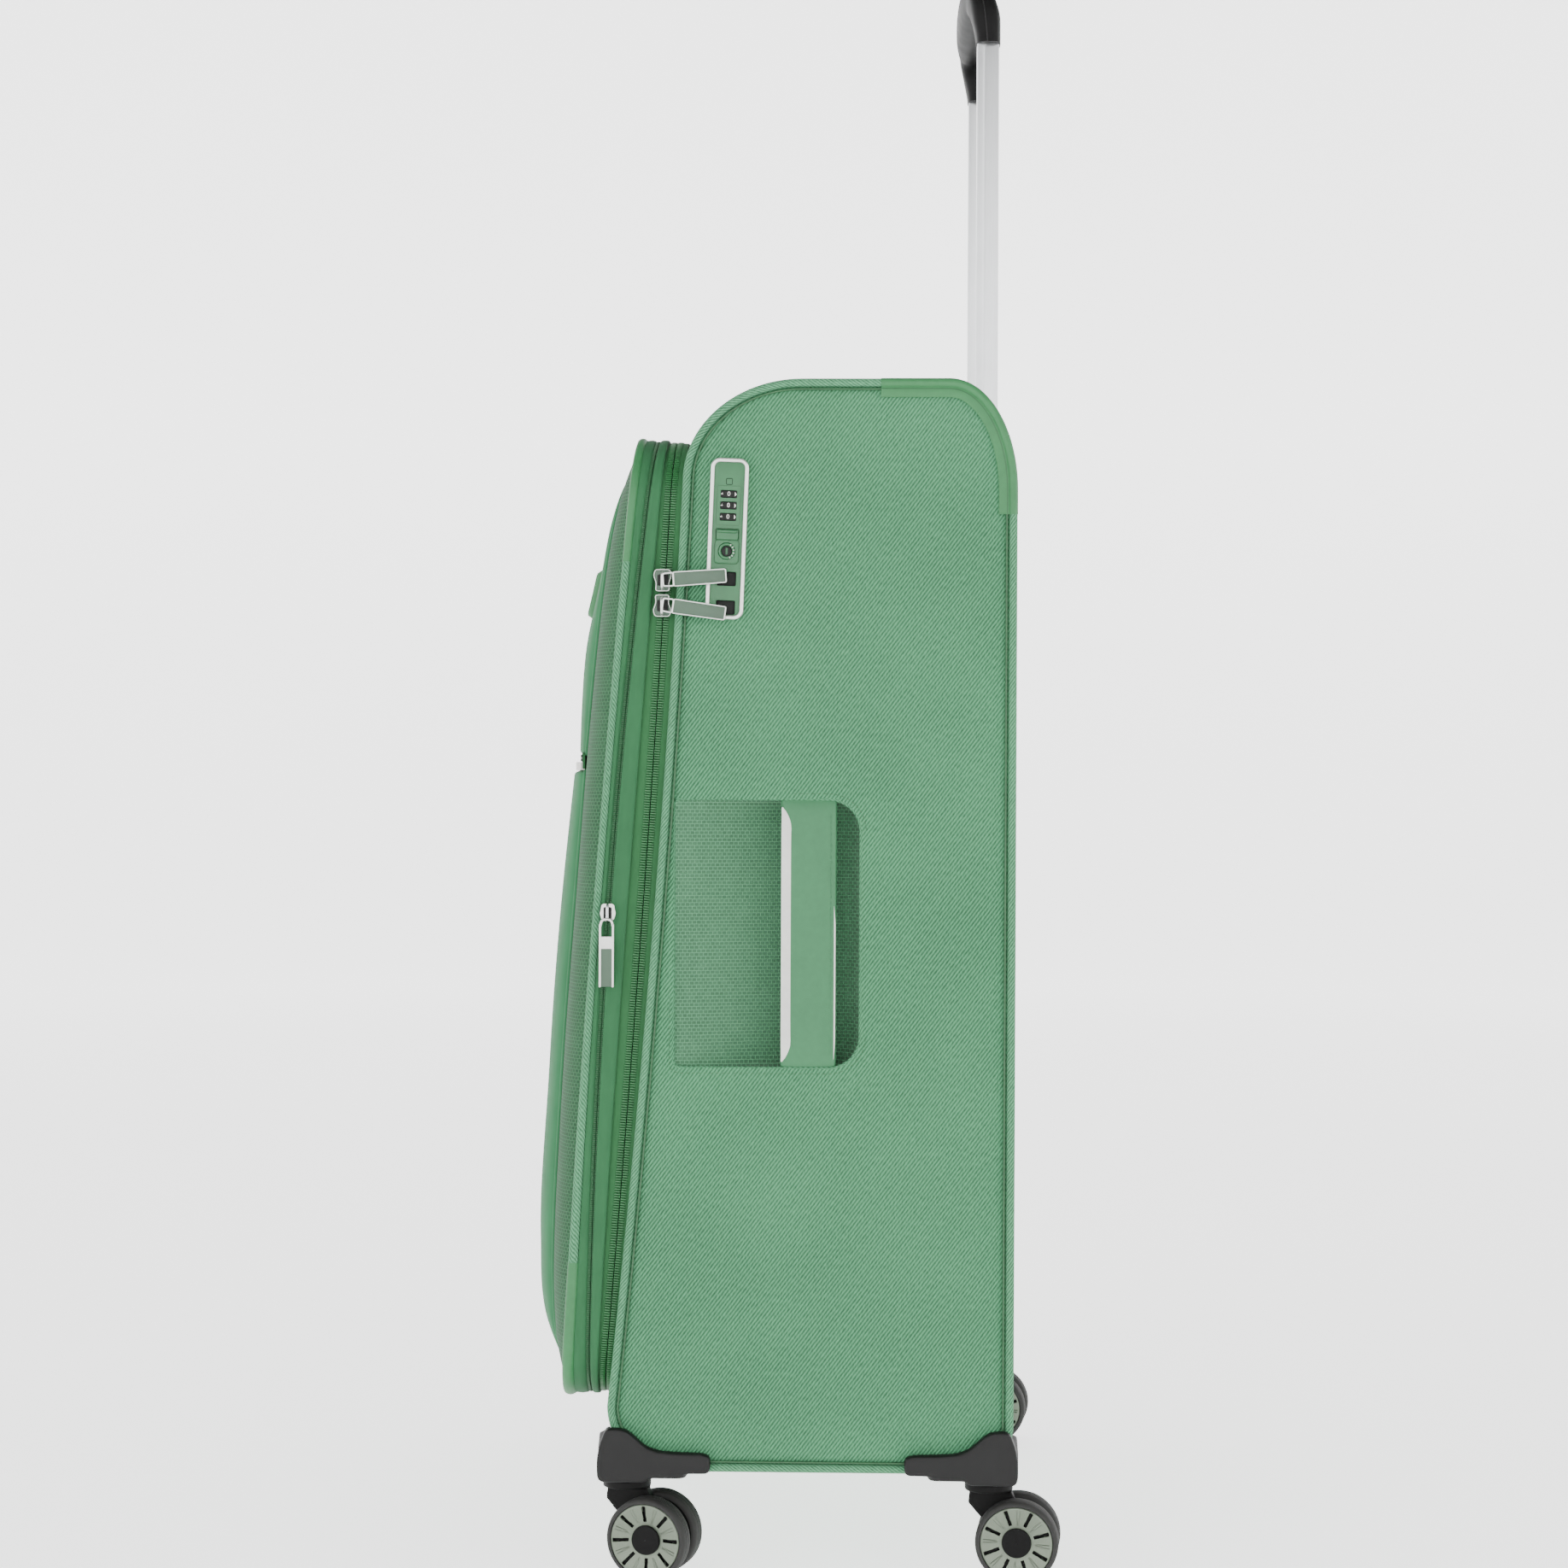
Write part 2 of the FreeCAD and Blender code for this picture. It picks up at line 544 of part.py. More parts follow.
def build_trolley():
    outers, inners = [], []
    for side, name in ((-1, "left"), (1, "right")):
        x = f"{side} * tube_x"
        half_x, half_y = "(tube_reach + tube_play + tube_wall)", "(tube_depth / 2 + tube_play + tube_wall)"
        outer = make_box(f"outer_tube_{name}", f"2 * {half_x}", f"2 * {half_y}", "dock_floor - 5 - sleeve_foot",
                         f"{x} - {half_x}", f"tube_y - {half_y}", "sleeve_foot")
        bore = make_box(f"outer_bore_{name}", "2 * (tube_reach + tube_play)", "tube_depth + 2 * tube_play",
                        "dock_floor - sleeve_foot", f"{x} - tube_reach - tube_play",
                        "tube_y - tube_depth / 2 - tube_play", "sleeve_foot + 3")
        outers.append(cut(f"tube_sleeve_{name}", outer, bore))
        tube = padded_body(f"inner_tube_{name}", "XY_Plane", tube_corners(side), "tube_top - tube_bottom")
        place(tube, x, "tube_y", "tube_bottom")
        hollow = make_box(f"tube_hollow_{name}", "11", "tube_depth - 2 * tube_wall", "tube_top - tube_bottom + 2",
                          f"{x} - 5.5", "tube_y - tube_depth / 2 + tube_wall", "tube_bottom - 1")
        inners.append(cut(f"slide_tube_{name}", tube, hollow))
    for label, parts in (("outer_tubes", outers), ("inner_tubes", inners)):
        group = doc.addObject("Part::Compound", label)
        group.Links = parts
        node(group, label)

    block = dock_block(0.0)
    floor = dim("dock_floor")
    block = block.cut(Part.makeBox(2 * 110, 34.5 - 4, 90, Vector(-110, 104, floor)))
    reach, deep = dim("tube_reach") + dim("tube_play"), dim("tube_depth") / 2 + dim("tube_play")
    for side in (-1, 1):
        hole = Part.makeBox(2 * reach, 2 * deep, 60, Vector(side * dim("tube_x") - reach, dim("tube_y") - deep, floor - 30))
        block = block.cut(hole)
    node(feature("handle_dock", block), "handle_dock")


def build_grip():
    half, top, bottom = dim("grip_half"), dim("grip_top"), dim("grip_bottom")
    leg, bar, bend = 27.0, 30.0, 26.0
    lean = bend * (1 - math.sqrt(0.5))
    inner = half - leg
    edges = []
    for side in (-1, 1):
        edges.append(line((side * inner, 0, bottom), (side * half, 0, bottom)))
        edges.append(line((side * half, 0, bottom), (side * half, 0, top - bend)))
        edges.append(arc((side * half, 0, top - bend), (side * (half - lean), 0, top - lean), (side * (half - bend), 0, top)))
        edges.append(line((side * inner, 0, bottom), (side * inner, 0, top - bar - 8)))
        edges.append(arc((side * inner, 0, top - bar - 8), (side * (inner - 2.3), 0, top - bar - 2.3),
                         (side * (inner - 8), 0, top - bar)))
    edges.append(line((bend - half, 0, top), (half - bend, 0, top)))
    edges.append(line((8 - inner, 0, top - bar), (inner - 8, 0, top - bar)))
    face = Part.Face(Part.Wire(Part.__sortEdges__(edges)))
    front_view = face.extrude(Vector(0, 200, 0))
    front, rear = dim("grip_front"), dim("grip_back")
    side_edges = [
        line((0, rear, bottom), (0, rear, bottom + 6)),
        arc((0, rear, bottom + 6), (0, rear - 1.8, bottom + 24), (0, rear - 8, top - 6)),
        arc((0, rear - 8, top - 6), (0, rear - 10.5, top - 1.5), (0, rear - 15, top)),
        line((0, rear - 15, top), (0, front + 7, top)),
        arc((0, front + 7, top), (0, front + 2, top - 3), (0, front, top - 10)),
        line((0, front, top - 10), (0, front, top - 22)),
        arc((0, front, top - 22), (0, front + 3, top - 33), (0, front + 10, top - 42)),
        line((0, front + 10, top - 42), (0, front + 10, bottom)),
        line((0, front + 10, bottom), (0, rear, bottom)),
    ]
    side_view = extruded(Part.Wire(Part.__sortEdges__(side_edges)), -200, 400)
    grip = front_view.common(side_view)
    for side in (-1, 1):
        socket = Part.makeBox(2 * dim("tube_reach"), dim("tube_depth"), dim("tube_top") - bottom + 1,
                              Vector(side * dim("tube_x") - dim("tube_reach"), dim("tube_y") - dim("tube_depth") / 2, bottom - 1))
        grip = grip.cut(socket)
    button = dim("button_half")
    grip = grip.cut(Part.makeBox(2 * button + 0.8, 10.8, 30, Vector(-button - 0.4, 112.6, top - 10)))
    node(feature("grip", grip), "grip")
    cap = make_box("grip_button", "2 * button_half", "10", "8", "-button_half", "113", "grip_top - 6.5")
    node(cap, "grip_button")


# ---------------------------------------------------------------- casters
CASTERS = [("front_right", 1, "swivel_front", "-front_turn"), ("front_left", -1, "swivel_front", "front_turn"),
           ("rear_right", 1, "swivel_rear", "-rear_turn"), ("rear_left", -1, "swivel_rear", "-rear_left_turn")]


def caster_place(item, side, swivel, turn, x="0", y="0", z="0"):
    """Put a piece, given in the caster's own frame, at its swivel axis."""
    place(item, f"{side} * swivel_x + cos({turn}) * ({x}) - sin({turn}) * ({y})",
          f"{swivel} + sin({turn}) * ({x}) + cos({turn}) * ({y})", z, turn)
    return item


def build_fork(name, side, swivel, turn):
    leg = padded_body(f"fork_leg_{name}", "YZ_Plane",
                      [("-12", "wheel_radius + 31"), ("-13", "wheel_radius + 22"), ("trail - 8", "wheel_radius - 5"),
                       ("trail - 4", "wheel_radius - 8"), ("trail + 4", "wheel_radius - 8"), ("trail + 8", "wheel_radius - 4"),
                       ("trail + 8", "wheel_radius + 5"), ("14", "wheel_radius + 31")],
                      "2 * wheel_inner - 1.4", both_ways=True)
    disc = make_cylinder(f"fork_disc_{name}", "15.5", "5.5", "0", "0", "wheel_radius + 30.5")
    pin = make_cylinder(f"fork_pin_{name}", "5", "12.5", "0", "0", "wheel_radius + 34")
    bore = make_cylinder(f"fork_bore_{name}", "axle_radius", "30", "-15", "trail", "wheel_radius", "x")
    fork = cut(f"fork_{name}", fuse(f"fork_solid_{name}", leg, disc, pin), bore)
    node(caster_place(fork, side, swivel, turn), f"fork_{name}")
    pin = make_cylinder(f"axle_pin_{name}", "axle_radius", "2 * (wheel_inner + 11)", "-wheel_inner - 11",
                        "trail", "wheel_radius", "x")
    axle = doc.addObject("Part::Compound", f"axle_{name}")
    axle.Links = [pin]
    node(caster_place(axle, side, swivel, turn), f"axle_{name}")


def build_wheel(name, side, swivel, turn, hand):
    """One wheel of a twin caster: a rim with a closed cap outside, and its tyre."""
    inner, outer = f"{hand} * wheel_inner", f"{hand} * (wheel_inner + wheel_width)"
    cap = f"{hand} * (wheel_inner + 11.6)"
    seat = "wheel_radius - tyre_depth"
    hub = "axle_radius + axle_play"
    rim = turned_body(f"rim_{name}", [(inner, hub), (cap, hub), (cap, "0"), (outer, "0"), (outer, "7"),
                                      (f"{hand} * (wheel_inner + wheel_width - 2)", "12"), (outer, seat), (inner, seat)])
    chamfer = f"{hand} * (wheel_inner + wheel_width - 3)"
    tyre = turned_body(f"tyre_{name}", [(inner, seat), (outer, seat), (outer, "wheel_radius - 2"),
                                        (chamfer, "wheel_radius"), (f"{hand} * (wheel_inner + 3)", "wheel_radius"),
                                        (inner, "wheel_radius - 2")])
    for item in (rim, tyre):
        node(caster_place(item, side, swivel, turn, "0", "trail", "wheel_radius"), item.Name)


def build_housing(name, side, swivel, axis_y, front):
    """The moulded corner that carries a caster: cup, side skirt, and end skirt."""
    facing = -1 if front else 1
    x, cup = dim("swivel_x"), dim("cup_radius")
    low, bottom = dim("cup_bottom"), dim("body_bottom")
    end = axis_y + facing * cup
    post = Part.makeCylinder(cup, dim("skirt_high") - 6 - low, Vector(x, axis_y, low))
    wide = 70.0
    plate = Part.makeBox(wide, dim("skirt_arm") - 12, 5, Vector(dim("skirt_half") - wide, 0, bottom - 4.7))
    plate.translate(Vector(0, end if front else end - (dim("skirt_arm") - 12), 0))
    arm = end - facing * dim("skirt_arm")
    floor = bottom - 4.7
    outline = [(end - facing * 2, floor), (end - facing * 2, dim("skirt_high")), (end - facing * 20, dim("skirt_high")),
               (end - facing * 36, dim("skirt_low")), (arm + facing * 5, dim("skirt_low")), (arm, floor + 3), (arm, floor)]
    face = Part.Face(Part.makePolygon([Vector(dim("skirt_half") - 40, y, z) for y, z in outline + outline[:1]]))
    skirt = face.extrude(Vector(40, 0, 0))
    block = post.fuse(plate).fuse(skirt)
    hollow = extruded(side_profile(0.2), -dim("body_half") - 0.2, 2 * dim("body_half") + 0.4)
    for ring in piping_rings(2.0, 8, 5, 2.0):
        hollow = hollow.fuse(ring)
    block = block.cut(hollow)
    block = block.cut(Part.makeCylinder(16, 4.7, Vector(x, axis_y, low - 0.01)))
    block = block.cut(Part.makeCylinder(5 + dim("axle_play"), 40, Vector(x, axis_y, low)))
    if side < 0:
        block = block.mirror(Vector(), Vector(1, 0, 0))
    solids = sorted(block.Solids, key=lambda solid: solid.Volume)
    node(feature(f"housing_{name}", solids[-1]), f"housing_{name}")


def build_casters():
    for name, side, swivel, turn in CASTERS:
        build_housing(name, side, swivel, dim(swivel), swivel == "swivel_front")
        build_fork(name, side, swivel, turn)
        for hand, where in ((-1, "inner"), (1, "outer")):
            build_wheel(f"{name}_{where}", side, swivel, turn, hand * side)


build_body()
build_tag_pocket()
build_handles()
build_lid()
build_pockets()
build_sliders()
build_lock()
build_trolley()
build_grip()
build_casters()
doc.recompute()

for item in doc.Objects:
    if {"Invalid", "Error"} & set(item.State):
        raise RuntimeError(f"{item.Label} did not recompute: {item.State}")
os.makedirs("parts", exist_ok=True)
for item in nodes:
    if item.Shape.isNull() or not item.Shape.isValid():
        raise RuntimeError(f"{item.Label} has no valid shape")
    item.Shape.exportStep(f"parts/{item.Label}.step")
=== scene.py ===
"""Looks of the soft-sided suitcase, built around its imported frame.

Every piece is made in millimetres and scaled to metres when its mesh is made.
Frame: +Z up, -Y towards the lid, +Y towards the handle tubes, +X towards the lock.
"""
import json
import math

import bmesh
import bpy
import numpy as np
from mathutils import Matrix, Vector

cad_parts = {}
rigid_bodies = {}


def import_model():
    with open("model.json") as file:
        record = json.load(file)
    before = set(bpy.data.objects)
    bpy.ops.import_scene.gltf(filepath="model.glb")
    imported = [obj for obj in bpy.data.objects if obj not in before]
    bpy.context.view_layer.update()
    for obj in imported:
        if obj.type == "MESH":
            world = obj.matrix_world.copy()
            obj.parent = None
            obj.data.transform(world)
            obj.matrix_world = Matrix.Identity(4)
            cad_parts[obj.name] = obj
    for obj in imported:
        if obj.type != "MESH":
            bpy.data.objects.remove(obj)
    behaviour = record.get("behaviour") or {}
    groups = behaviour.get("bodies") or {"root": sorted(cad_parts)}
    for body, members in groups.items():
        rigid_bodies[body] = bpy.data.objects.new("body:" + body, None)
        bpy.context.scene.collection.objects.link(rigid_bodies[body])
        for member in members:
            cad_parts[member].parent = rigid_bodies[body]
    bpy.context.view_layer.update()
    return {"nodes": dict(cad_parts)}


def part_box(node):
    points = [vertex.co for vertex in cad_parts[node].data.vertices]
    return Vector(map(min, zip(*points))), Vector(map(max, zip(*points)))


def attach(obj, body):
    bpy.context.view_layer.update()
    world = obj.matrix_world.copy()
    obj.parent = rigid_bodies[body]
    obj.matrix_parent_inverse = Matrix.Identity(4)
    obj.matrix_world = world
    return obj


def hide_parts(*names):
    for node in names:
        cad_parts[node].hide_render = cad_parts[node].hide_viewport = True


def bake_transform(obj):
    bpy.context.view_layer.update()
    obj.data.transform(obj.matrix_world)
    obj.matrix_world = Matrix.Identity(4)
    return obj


MM = 0.001
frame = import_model()


# ---------------------------------------------------------------- sizes of the case
HALF, BACK, TOP, BOTTOM = 230.0, 139.0, 769.0, 71.5
SHOULDER = (75.0, 64.0)
HEEL = (42.0, 70.0)
TOE, SOLE = 40.0, 30.0
SEAM_HEIGHTS = (740.0, 433.0, 105.0)
FACE = (-72.3, -89.3, -118.3)
COIL = (-79.3, -98.3, -123.8)
EXPANDER = (-90.3, -120.0, -132.3)
HEM = (-98.8, -125.1, -143.3)
RIM = (-104.8, -130.3, -151.3)
SEAMS = (FACE, COIL, EXPANDER, HEM, RIM)
LID_HALF, LID_TOP, LID_BOTTOM, LID_CORNER = 227.0, 735.0, 112.0, 45.0
POCKET_HALF = 178.0
CASTERS = {
    "front_right": (1, -108.0, -16.0),
    "front_left": (-1, -108.0, 16.0),
    "rear_right": (1, 125.5, -6.0),
    "rear_left": (-1, 125.5, -8.0),
}
SWIVEL_X, TRAIL, WHEEL_RADIUS = 212.0, 19.0, 26.7


# ---------------------------------------------------------------- curves
def through(heights, values, z):
    """The smooth curve through three heights, at z."""
    total = 0.0
    for i, value in enumerate(values):
        weight = 1.0
        for j, height in enumerate(heights):
            if i != j:
                weight = weight * (z - height) / (heights[i] - height)
        total = total + weight * value
    return total


def eased(xs, ys, x):
    """A curve without corners through the points (xs, ys), xs rising."""
    xs, ys, x = np.array(xs, float), np.array(ys, float), np.asarray(x, float)
    slope = np.gradient(ys, xs)
    i = np.clip(np.searchsorted(xs, x) - 1, 0, len(xs) - 2)
    width = xs[i + 1] - xs[i]
    t = np.clip((x - xs[i]) / width, 0, 1)
    a, b = 2 * t**3 - 3 * t**2 + 1, t**3 - 2 * t**2 + t
    c, d = -2 * t**3 + 3 * t**2, t**3 - t**2
    return a * ys[i] + b * width * slope[i] + c * ys[i + 1] + d * width * slope[i + 1]


def smooth(low, high, x):
    t = np.clip((np.asarray(x, float) - low) / (high - low), 0, 1)
    return t * t * (3 - 2 * t)


def front_edge(z, grow=0.0):
    """Front of the side outline at height z."""
    z = np.asarray(z, float)
    high, low = TOP - SHOULDER[1], BOTTOM + TOE
    y = through((high, SEAM_HEIGHTS[1], low), FACE, np.clip(z, low, high)) - grow
    rise = np.clip((z - high) / (SHOULDER[1] + grow), 0, 1)
    drop = np.clip((low - z) / (TOE + grow), 0, 1)
    y = y + (SHOULDER[0] + grow) * (1 - np.sqrt(1 - rise**2))
    return y + (TOE + grow) * (1 - np.sqrt(1 - drop**2))


def back_edge(z, grow=0.0):
    """Back of the side outline at height z."""
    z = np.asarray(z, float)
    rise = np.clip((z - TOP + HEEL[1]) / (HEEL[1] + grow), 0, 1)
    drop = np.clip((BOTTOM + SOLE - z) / (SOLE + grow), 0, 1)
    y = BACK + grow - (HEEL[0] + grow) * (1 - np.sqrt(1 - rise**2))
    return y - (SOLE + grow) * (1 - np.sqrt(1 - drop**2))


def quarter(center, half, start, count):
    """A quarter of an ellipse, with its outward normals."""
    angle = np.radians(np.linspace(start, start + 90, count))
    points = np.stack([center[0] + half[0] * np.cos(angle), center[1] + half[1] * np.sin(angle)], 1)
    normals = np.stack([np.cos(angle) / half[0], np.sin(angle) / half[1]], 1)
    return points, normals / np.linalg.norm(normals, axis=1)[:, None]


def straight(first, last, normal, count):
    t = np.linspace(0, 1, count)[1:-1, None]
    points = np.array(first) * (1 - t) + np.array(last) * t
    return points, np.tile(np.array(normal, float), (len(points), 1))


def side_outline():
    """The closed side outline as (y, z) points and their outward normals, up the back first."""
    heel, shoulder = TOP - HEEL[1], TOP - SHOULDER[1]
    toe, sole = BOTTOM + TOE, BOTTOM + SOLE
    heights = np.linspace(shoulder, toe, 90)[1:-1]
    front = np.stack([front_edge(heights), heights], 1)
    lean = np.stack([np.full(len(heights), -1.0), np.gradient(front[:, 0], heights)], 1)
    lean /= np.linalg.norm(lean, axis=1)[:, None]
    parts = [
        straight((BACK, sole), (BACK, heel), (1, 0), 80),
        quarter((BACK - HEEL[0], heel), HEEL, 0, 26),
        straight((BACK - HEEL[0], TOP), (FACE[0] + SHOULDER[0], TOP), (0, 1), 16),
        quarter((FACE[0] + SHOULDER[0], shoulder), SHOULDER, 90, 28),
        (front, lean),
        quarter((FACE[2] + TOE, toe), (TOE, TOE), 180, 18),
        straight((FACE[2] + TOE, BOTTOM), (BACK - SOLE, BOTTOM), (0, -1), 24),
        quarter((BACK - SOLE, sole), (SOLE, SOLE), 270, 16),
    ]
    return np.concatenate([p for p, n in parts]), np.concatenate([n for p, n in parts])


def lid_outline(step=9.0):
    """The lid's outline seen from the front: (x, z), outward normals and length along it.

    It starts at the foot of the left side's straight run and goes along the bottom,
    up the right side and over the top, so that the left side comes last.
    """
    inner_x, low, high = LID_HALF - LID_CORNER, LID_BOTTOM + LID_CORNER, LID_TOP - LID_CORNER
    wide, tall = int(2 * inner_x / step), int((high - low) / step)
    corner = (LID_CORNER, LID_CORNER)
    parts = [
        quarter((-inner_x, low), corner, 180, 16),
        straight((-inner_x, LID_BOTTOM), (inner_x, LID_BOTTOM), (0, -1), wide),
        quarter((inner_x, low), corner, 270, 16),
        straight((LID_HALF, low), (LID_HALF, high), (1, 0), tall),
        quarter((inner_x, high), corner, 0, 16),
        straight((inner_x, LID_TOP), (-inner_x, LID_TOP), (0, 1), wide),
        quarter((-inner_x, high), corner, 90, 16),
        straight((-LID_HALF, high), (-LID_HALF, low), (-1, 0), tall),
    ]
    return np.concatenate([p for p, n in parts]), np.concatenate([n for p, n in parts])


def stack_y(k, z):
    """Y at height z of seam k: 0 body face, 1 coil, 2 expander, 3 hem, 4 rim, and between them."""
    z = np.asarray(z, float)
    curves = np.stack([through(SEAM_HEIGHTS, seam, z) for seam in SEAMS])
    k = np.clip(np.broadcast_to(k, z.shape), 0, 4 - 1e-6)
    low = k.astype(int)
    a = np.take_along_axis(curves, low[None], 0)[0]
    b = np.take_along_axis(curves, low[None] + 1, 0)[0]
    return a + (b - a) * (k - low)


def lengths(points, closed=False):
    """Distance along a line of points, with the closing length added when closed."""
    points = np.asarray(points, float)
    if closed:
        points = np.concatenate([points, points[:1]])
    steps = np.linalg.norm(np.diff(points, axis=0), axis=1)
    return np.concatenate([[0], np.cumsum(steps)])


def unit(vectors):
    return vectors / np.maximum(np.linalg.norm(vectors, axis=-1, keepdims=True), 1e-9)


# ---------------------------------------------------------------- meshes
def build(name, points, faces, weave=None, creases=None):
    """A mesh object. points in millimetres; weave is one (u, v) in millimetres per face corner."""
    mesh = bpy.data.meshes.new(name)
    mesh.from_pydata((np.asarray(points, float) * MM).tolist(), [], [list(map(int, f)) for f in faces])
    if weave is not None:
        layer = mesh.uv_layers.new(name="weave")
        layer.data.foreach_set("uv", np.asarray(weave, np.float32).ravel())
    mesh.validate()
    item = bpy.data.objects.new(name, mesh)
    bpy.context.scene.collection.objects.link(item)
    tidy = bmesh.new()
    tidy.from_mesh(mesh)
    bmesh.ops.recalc_face_normals(tidy, faces=tidy.faces)
    tidy.to_mesh(mesh)
    tidy.free()
    mesh.polygons.foreach_set("use_smooth", [True] * len(mesh.polygons))
    mesh.set_sharp_from_angle(angle=math.radians(creases or 50))
    return item


def skin(name, outer, inner, weave, loop_rows=False, loop_columns=False, creases=None):
    """A closed sheet of material between two grids of points, each (rows, columns, 3)."""
    outer, inner = np.asarray(outer, float), np.asarray(inner, float)
    rows, columns = outer.shape[:2]
    count = rows * columns
    i, j = np.meshgrid(np.arange(rows if loop_rows else rows - 1),
                       np.arange(columns if loop_columns else columns - 1), indexing="ij")
    i, j = i.ravel(), j.ravel()
    weave = np.asarray(weave, float)

    def corners(pairs, side):
        index = np.stack([(a % rows) * columns + b % columns + s * count for (a, b), s in zip(pairs, side)],
                         1)
        places = np.stack([weave[a, b] for a, b in pairs], 1)
        return index, places

    cell = [(i, j), (i, j + 1), (i + 1, j + 1), (i + 1, j)]
    groups = [corners(cell, (0, 0, 0, 0)), corners(cell[::-1], (1, 1, 1, 1))]
    if not loop_rows:
        b = np.arange(columns if loop_columns else columns - 1)
        for row in (0, rows - 1):
            a = np.full(len(b), row)
            groups.append(corners([(a, b), (a, b + 1), (a, b + 1), (a, b)], (0, 0, 1, 1)))
    if not loop_columns:
        a = np.arange(rows if loop_rows else rows - 1)
        for column in (0, columns - 1):
            b = np.full(len(a), column)
            groups.append(corners([(a, b), (a + 1, b), (a + 1, b), (a, b)], (0, 0, 1, 1)))
    faces = np.concatenate([g[0] for g in groups])
    places = np.concatenate([g[1] for g in groups])
    return build(name, np.concatenate([outer.reshape(-1, 3), inner.reshape(-1, 3)]), faces, places, creases)


def flat_weave(columns, rows):
    """A weave grid from one coordinate per column and one per row."""
    u, v = np.meshgrid(np.asarray(columns, float), np.asarray(rows, float))
    return np.stack([u, v], -1)


def loft(name, grid, closed=False, creases=None):
    """A solid through closed sections, grid (stations, points, 3); open lofts get end caps."""
    grid = np.asarray(grid, float)
    stations, count = grid.shape[:2]
    along = lengths(grid.mean(1), closed)
    round_it = lengths(grid[stations // 2], True)
    i, j = np.meshgrid(np.arange(stations if closed else stations - 1), np.arange(count), indexing="ij")
    i, j = i.ravel(), j.ravel()
    pairs = [(i, j), (i, j + 1), (i + 1, j + 1), (i + 1, j)]
    faces = np.stack([(a % stations) * count + b % count for a, b in pairs], 1).tolist()
    places = np.stack([np.stack([round_it[b], along[a]], -1) for a, b in pairs], 1).reshape(-1, 2).tolist()
    if not closed:
        for station in (0, stations - 1):
            faces.append([station * count + k for k in range(count)])
            places += [[round_it[k], along[station]] for k in range(count)]
    return build(name, grid.reshape(-1, 3), faces, places, creases)


def sweep(name, path, outward, section, closed=False, creases=None):
    """A section carried along a path; outward is one vector, or one per station.

    Section points are (outward, sideways), fixed or one set per station.
    """
    path, outward, section = (np.asarray(a, float) for a in (path, outward, section))
    if closed:
        tangent = np.roll(path, -1, 0) - np.roll(path, 1, 0)
    else:
        tangent = np.gradient(path, axis=0)
    tangent = unit(tangent)
    out = unit(outward - (outward * tangent).sum(1)[:, None] * tangent)
    across = np.cross(tangent, out)
    if section.ndim == 2:
        section = np.tile(section, (len(path), 1, 1))
    grid = path[:, None] + section[..., :1] * out[:, None] + section[..., 1:] * across[:, None]
    return loft(name, grid, closed, creases)


def circle(radius, count=12, squash=1.0):
    angle = np.linspace(0, math.tau, count, endpoint=False)
    return np.stack([radius * squash * np.cos(angle), radius * np.sin(angle)], 1)


def rounded(half_a, half_b, radius, steps=4):
    """A rectangle with round corners, as section points."""
    points = []
    for sign_a, sign_b, start in ((1, 1, 0), (-1, 1, 90), (-1, -1, 180), (1, -1, 270)):
        for angle in np.radians(np.linspace(start, start + 90, steps)):
            points.append((sign_a * (half_a - radius) + radius * math.cos(angle),
                           sign_b * (half_b - radius) + radius * math.sin(angle)))
    return np.array(points)


def plate(name, outline, low, high, axis=0, bevel=0.6, steps=3):
    """A solid plate with soft edges. outline is (a, b) points in the plane across the axis."""
    outline = np.asarray(outline, float)
    following, before = np.roll(outline, -1, 0), np.roll(outline, 1, 0)
    tangent = unit(following - before)
    normal = np.stack([tangent[:, 1], -tangent[:, 0]], 1)
    layers = []
    for turn in np.linspace(0, 90, steps):
        angle = math.radians(turn)
        layers.append((bevel * (1 - math.sin(angle)), low + bevel * (1 - math.cos(angle))))
    for turn in np.linspace(90, 0, steps):
        angle = math.radians(turn)
        layers.append((bevel * (1 - math.sin(angle)), high - bevel * (1 - math.cos(angle))))
    grid = np.zeros((len(layers), len(outline), 3))
    others = [k for k in range(3) if k != axis]
    for row, (inset, level) in enumerate(layers):
        grid[row][:, others] = outline - inset * normal
        grid[row][:, axis] = level
    return loft(name, grid)


def lathe(name, profile, segments=64, creases=None):
    """A closed profile of (axial, radius) points turned about the X axis."""
    profile = np.asarray(profile, float)
    angle = np.linspace(0, math.tau, segments, endpoint=False)
    grid = np.zeros((segments, len(profile), 3))
    grid[..., 0] = profile[None, :, 0]
    grid[..., 1] = profile[None, :, 1] * np.cos(angle)[:, None]
    grid[..., 2] = profile[None, :, 1] * np.sin(angle)[:, None]
    return loft(name, grid, True, creases)


def scatter(name, shape, faces, origins, axes):
    """Copies of one small shape, each at its own place and turn; axes is (count, 3, 3), rows as axes."""
    shape, origins, axes = (np.asarray(a, float) for a in (shape, origins, axes))
    points = np.einsum("pk,nkc->npc", shape, axes) + origins[:, None]
    every = []
    for n in range(len(origins)):
        every += [[f + n * len(shape) for f in face] for face in faces]
    return build(name, points.reshape(-1, 3), every)


def bead(long, wide, tall, sides=6):
    """A small rounded bar along its first axis, for teeth and stitches."""
    points, faces = [], []
    for at, size in ((-0.5, 0.55), (-0.3, 1.0), (0.3, 1.0), (0.5, 0.55)):
        for k in range(sides):
            angle = math.tau * k / sides
            points.append((at * long, size * wide / 2 * math.cos(angle), size * tall / 2 * math.sin(angle)))
    for ring in range(3):
        for k in range(sides):
            a, b = ring * sides + k, ring * sides + (k + 1) % sides
            faces.append([a, b, b + sides, a + sides])
    faces.append(list(range(sides)))
    faces.append(list(range(3 * sides, 4 * sides)))
    return points, faces


